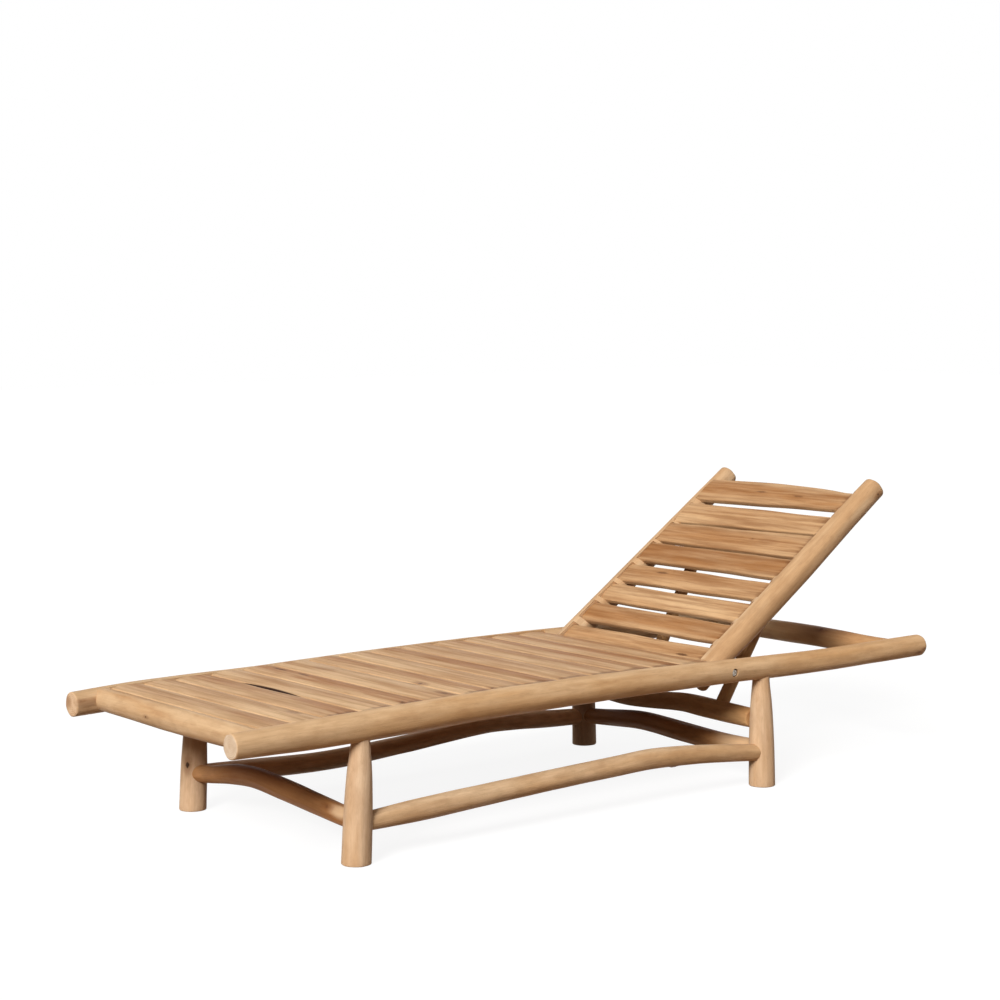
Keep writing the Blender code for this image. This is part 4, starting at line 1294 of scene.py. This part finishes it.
for hand, side in hand_sides.items():
    outside = rail_face(hand, -1)
    inside = rail_face(hand, 1)
    pole_face = inside + side * back_gap
    bolt_end = abs(pole_face - outside) + insert_length - bolt_end_clear
    bolt_rings = turned_rings(outside, side, [*head_profile, (bolt_end, bolt_radius)], steel_sides)
    bolt = loft(f"hinge_bolt_{hand}_steel", bolt_rings)
    carve(bolt, [turned_rings(outside, side, socket_profile, socket_sides, bolt_socket_turn)])
    spacer = tube_piece(f"hinge_spacer_{hand}_steel", inside, side, spacer_profile, steel_sides)
    insert = tube_piece(f"hinge_insert_{hand}_steel", pole_face, side, insert_profile, insert_sides)
    for piece, node_name, body in (
        (bolt, "hinge_bolt_" + hand, "backrest"),
        (spacer, "hinge_spacer_" + hand, "frame"),
        (insert, "hinge_insert_" + hand, "backrest"),
    ):
        dress(piece, hinge_steel)
        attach(piece, body)
        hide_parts(node_name)

# Prop
# An upper branch turns between the head legs on its round tenons, and two thinner sticks
# tenoned into it hold up the back cross bar with their whittled tops.
prop_bar_height = 0.1545
prop_bar_play = 0.0012
prop_bar_ease = 0.003
prop_bar_stations = (
    (0.00, 0.000, 0.0000, 0.0205),
    (0.08, 0.000, 0.0012, 0.0230),
    (0.30, 0.000, 0.0042, 0.0242),
    (0.42, 0.000, 0.0055, 0.0230),
    (0.62, 0.000, -0.0055, 0.0214),
    (0.74, 0.000, -0.0085, 0.0216),
    (0.90, 0.000, -0.0040, 0.0210),
    (1.00, 0.000, 0.0000, 0.0200),
)
prop_stick_radius = 0.015
held_bar_radius = 0.018
prop_top_clearance = 0.0020
prop_teak = peeled_teak("prop_teak", ((208, 164, 114), (188, 138, 88), (138, 90, 52)))
prop_origin = leg_axis(legs["head", "left"], prop_bar_height)
prop_origin.y = 0
half_bar = Vector((0, rail_half_spacing, 0))
prop_bar = Branch(prop_origin - half_bar, prop_origin + half_bar, prop_bar_stations, (-1, 0, 0), 16.0)


def turning_end(branch, at_start, host):
    """End with a plain rounded shoulder and a round tenon that turns in the leg."""
    near = branch.start if at_start else branch.start + branch.axis * branch.length
    inward = branch.axis if at_start else -branch.axis
    reach = host.girth(host.share_of(near))
    shoulder = reach + prop_bar_play
    middle = branch.centre(branch.from_end(at_start, 0.0))
    rings = []
    for distance in (reach - stretcher_tenon_depth, shoulder):
        rings.append(circle(branch, middle + inward * distance, stretcher_tenon_radius))
    rings += eased_rings(branch, at_start, shoulder, prop_bar_ease, (90, 60, 30, 0))
    return rings, shoulder + prop_bar_ease


def whittled_top(branch):
    """Round top of a stick, from its tip down to its full girth."""
    rings = []
    dome = branch.girth(1.0)
    for turn in (80, 65, 50, 35, 18, 0):
        lean = math.radians(turn)
        share = branch.from_end(False, dome * (1 - math.sin(lean)))
        centre = branch.centre(share)
        rings.append([centre + (point - centre) * math.cos(lean) for point in skin_ring(branch, share)])
    return rings, dome


left_end = turning_end(prop_bar, True, legs["head", "left"])
right_end = turning_end(prop_bar, False, legs["head", "right"])
piece = branch_piece("prop_bar", prop_bar, (left_end, right_end), prop_teak)
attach(piece, "prop")
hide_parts("prop_bar")
held = back_place @ Vector((cross_bar_place, 0, -cross_bar_drop)) - prop_origin
stick_length = held.length - held_bar_radius - prop_top_clearance
for hand, y, lean, seed in (("left", -0.176, 0.003, 17.0), ("right", 0.104, 0.039, 18.0)):
    base = prop_bar.centre((y + rail_half_spacing) / (2 * rail_half_spacing))
    base.x = prop_origin.x
    tip = prop_origin + held.normalized() * stick_length
    tip.y = base.y
    stations = (
        (0.0, 0.0, 0.0, prop_stick_radius + 0.0015),
        (0.5, 0.55 * lean, 0.0, prop_stick_radius + 0.0005),
        (1.0, lean, 0.0, prop_stick_radius - 0.0005),
    )
    stick = Branch(base, tip, stations, (0, 1, 0), seed)
    foot = scribed_end(stick, True, prop_bar, thin_tenon_radius, thin_tenon_depth)
    name = "prop_stick_" + hand
    piece = branch_piece(name, stick, (foot, whittled_top(stick)), prop_teak)
    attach(piece, "prop")
    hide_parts(name)

# Studio
# A plain pale floor and backdrop, soft light from the front left and above,
# and the camera where the photograph was taken.
floor_reach = 20
corners = [(x * floor_reach, y * floor_reach, 0) for x, y in ((-1, -1), (1, -1), (1, 1), (-1, 1))]
floor_mesh = bpy.data.meshes.new("studio_floor")
floor_mesh.from_pydata(corners, [], [(0, 1, 2, 3)])
floor = bpy.data.objects.new("studio_floor", floor_mesh)
bpy.context.collection.objects.link(floor)


def show_by_sight(tree, unseen, seen, output):
    """One shader where the camera sees, also by reflection or through glass, and another for the light."""
    path = node(tree, "ShaderNodeLightPath").outputs
    straight = maths(tree, "MAXIMUM", path["Is Camera Ray"], path["Is Glossy Ray"])
    sight = maths(tree, "MAXIMUM", straight, path["Is Transmission Ray"])
    mix = node(tree, "ShaderNodeMixShader", {0: sight, 1: unseen.outputs[0], 2: seen.outputs[0]})
    node(tree, output, {0: mix.outputs[0]})


floor_finish = bpy.data.materials.new("studio_floor")
floor_finish.use_nodes = True
floor_tree = floor_finish.node_tree
floor_tree.nodes.clear()
floor_shade = node(floor_tree, "ShaderNodeBsdfDiffuse", {"Color": (0.16, 0.16, 0.16, 1)})
floor_glow = node(floor_tree, "ShaderNodeEmission", {"Color": (1, 1, 1, 1), "Strength": 0.90})
floor_white = node(floor_tree, "ShaderNodeAddShader", {0: floor_shade.outputs[0], 1: floor_glow.outputs[0]})
floor_dull = node(floor_tree, "ShaderNodeBsdfDiffuse", {"Color": (0.24, 0.152, 0.094, 1)})
show_by_sight(floor_tree, floor_dull, floor_white, "ShaderNodeOutputMaterial")
floor_mesh.materials.append(floor_finish)

world = bpy.data.worlds.new("studio")
world.use_nodes = True
bpy.context.scene.world = world
world_tree = world.node_tree
world_tree.nodes.clear()
sky_place = node(world_tree, "ShaderNodeTexCoord").outputs["Generated"]
sky_height = node(world_tree, "ShaderNodeSeparateXYZ", {0: sky_place}).outputs["Z"]
overhead = ramp_level(world_tree, sky_height, 0.0, 1.0, 0.05, 0.42)
soft_light = node(world_tree, "ShaderNodeBackground", {"Color": (1.0, 0.97, 0.94, 1), "Strength": overhead})
white_wall = node(world_tree, "ShaderNodeBackground", {"Color": (1, 1, 1, 1), "Strength": 1.0})
show_by_sight(world_tree, soft_light, white_wall, "ShaderNodeOutputWorld")

key_light = bpy.data.lights.new("key_light", "SUN")
key_light.energy = 3.7
key_light.angle = math.radians(20)
key_light.color = (0.985, 0.975, 0.955)
key = bpy.data.objects.new("key_light", key_light)
key.rotation_euler = Vector((0.74, 0.40, -0.52)).to_track_quat("-Z", "Y").to_euler()
bpy.context.collection.objects.link(key)

camera_data = bpy.data.cameras.new("camera")
camera_data.lens = 82.68
camera_data.sensor_width = 36.0
camera = bpy.data.objects.new("camera", camera_data)
bpy.context.collection.objects.link(camera)
heading = Matrix.Rotation(math.radians(-38.604), 4, "Z")
dip = Matrix.Rotation(math.radians(90 - 5.317), 4, "X")
roll = Matrix.Rotation(math.radians(-0.236), 4, "Z")
camera.matrix_world = Matrix.Translation((-3.3255, -4.0726, 1.1652)) @ heading @ dip @ roll
bpy.context.scene.camera = camera
bpy.context.scene.view_settings.view_transform = "Standard"
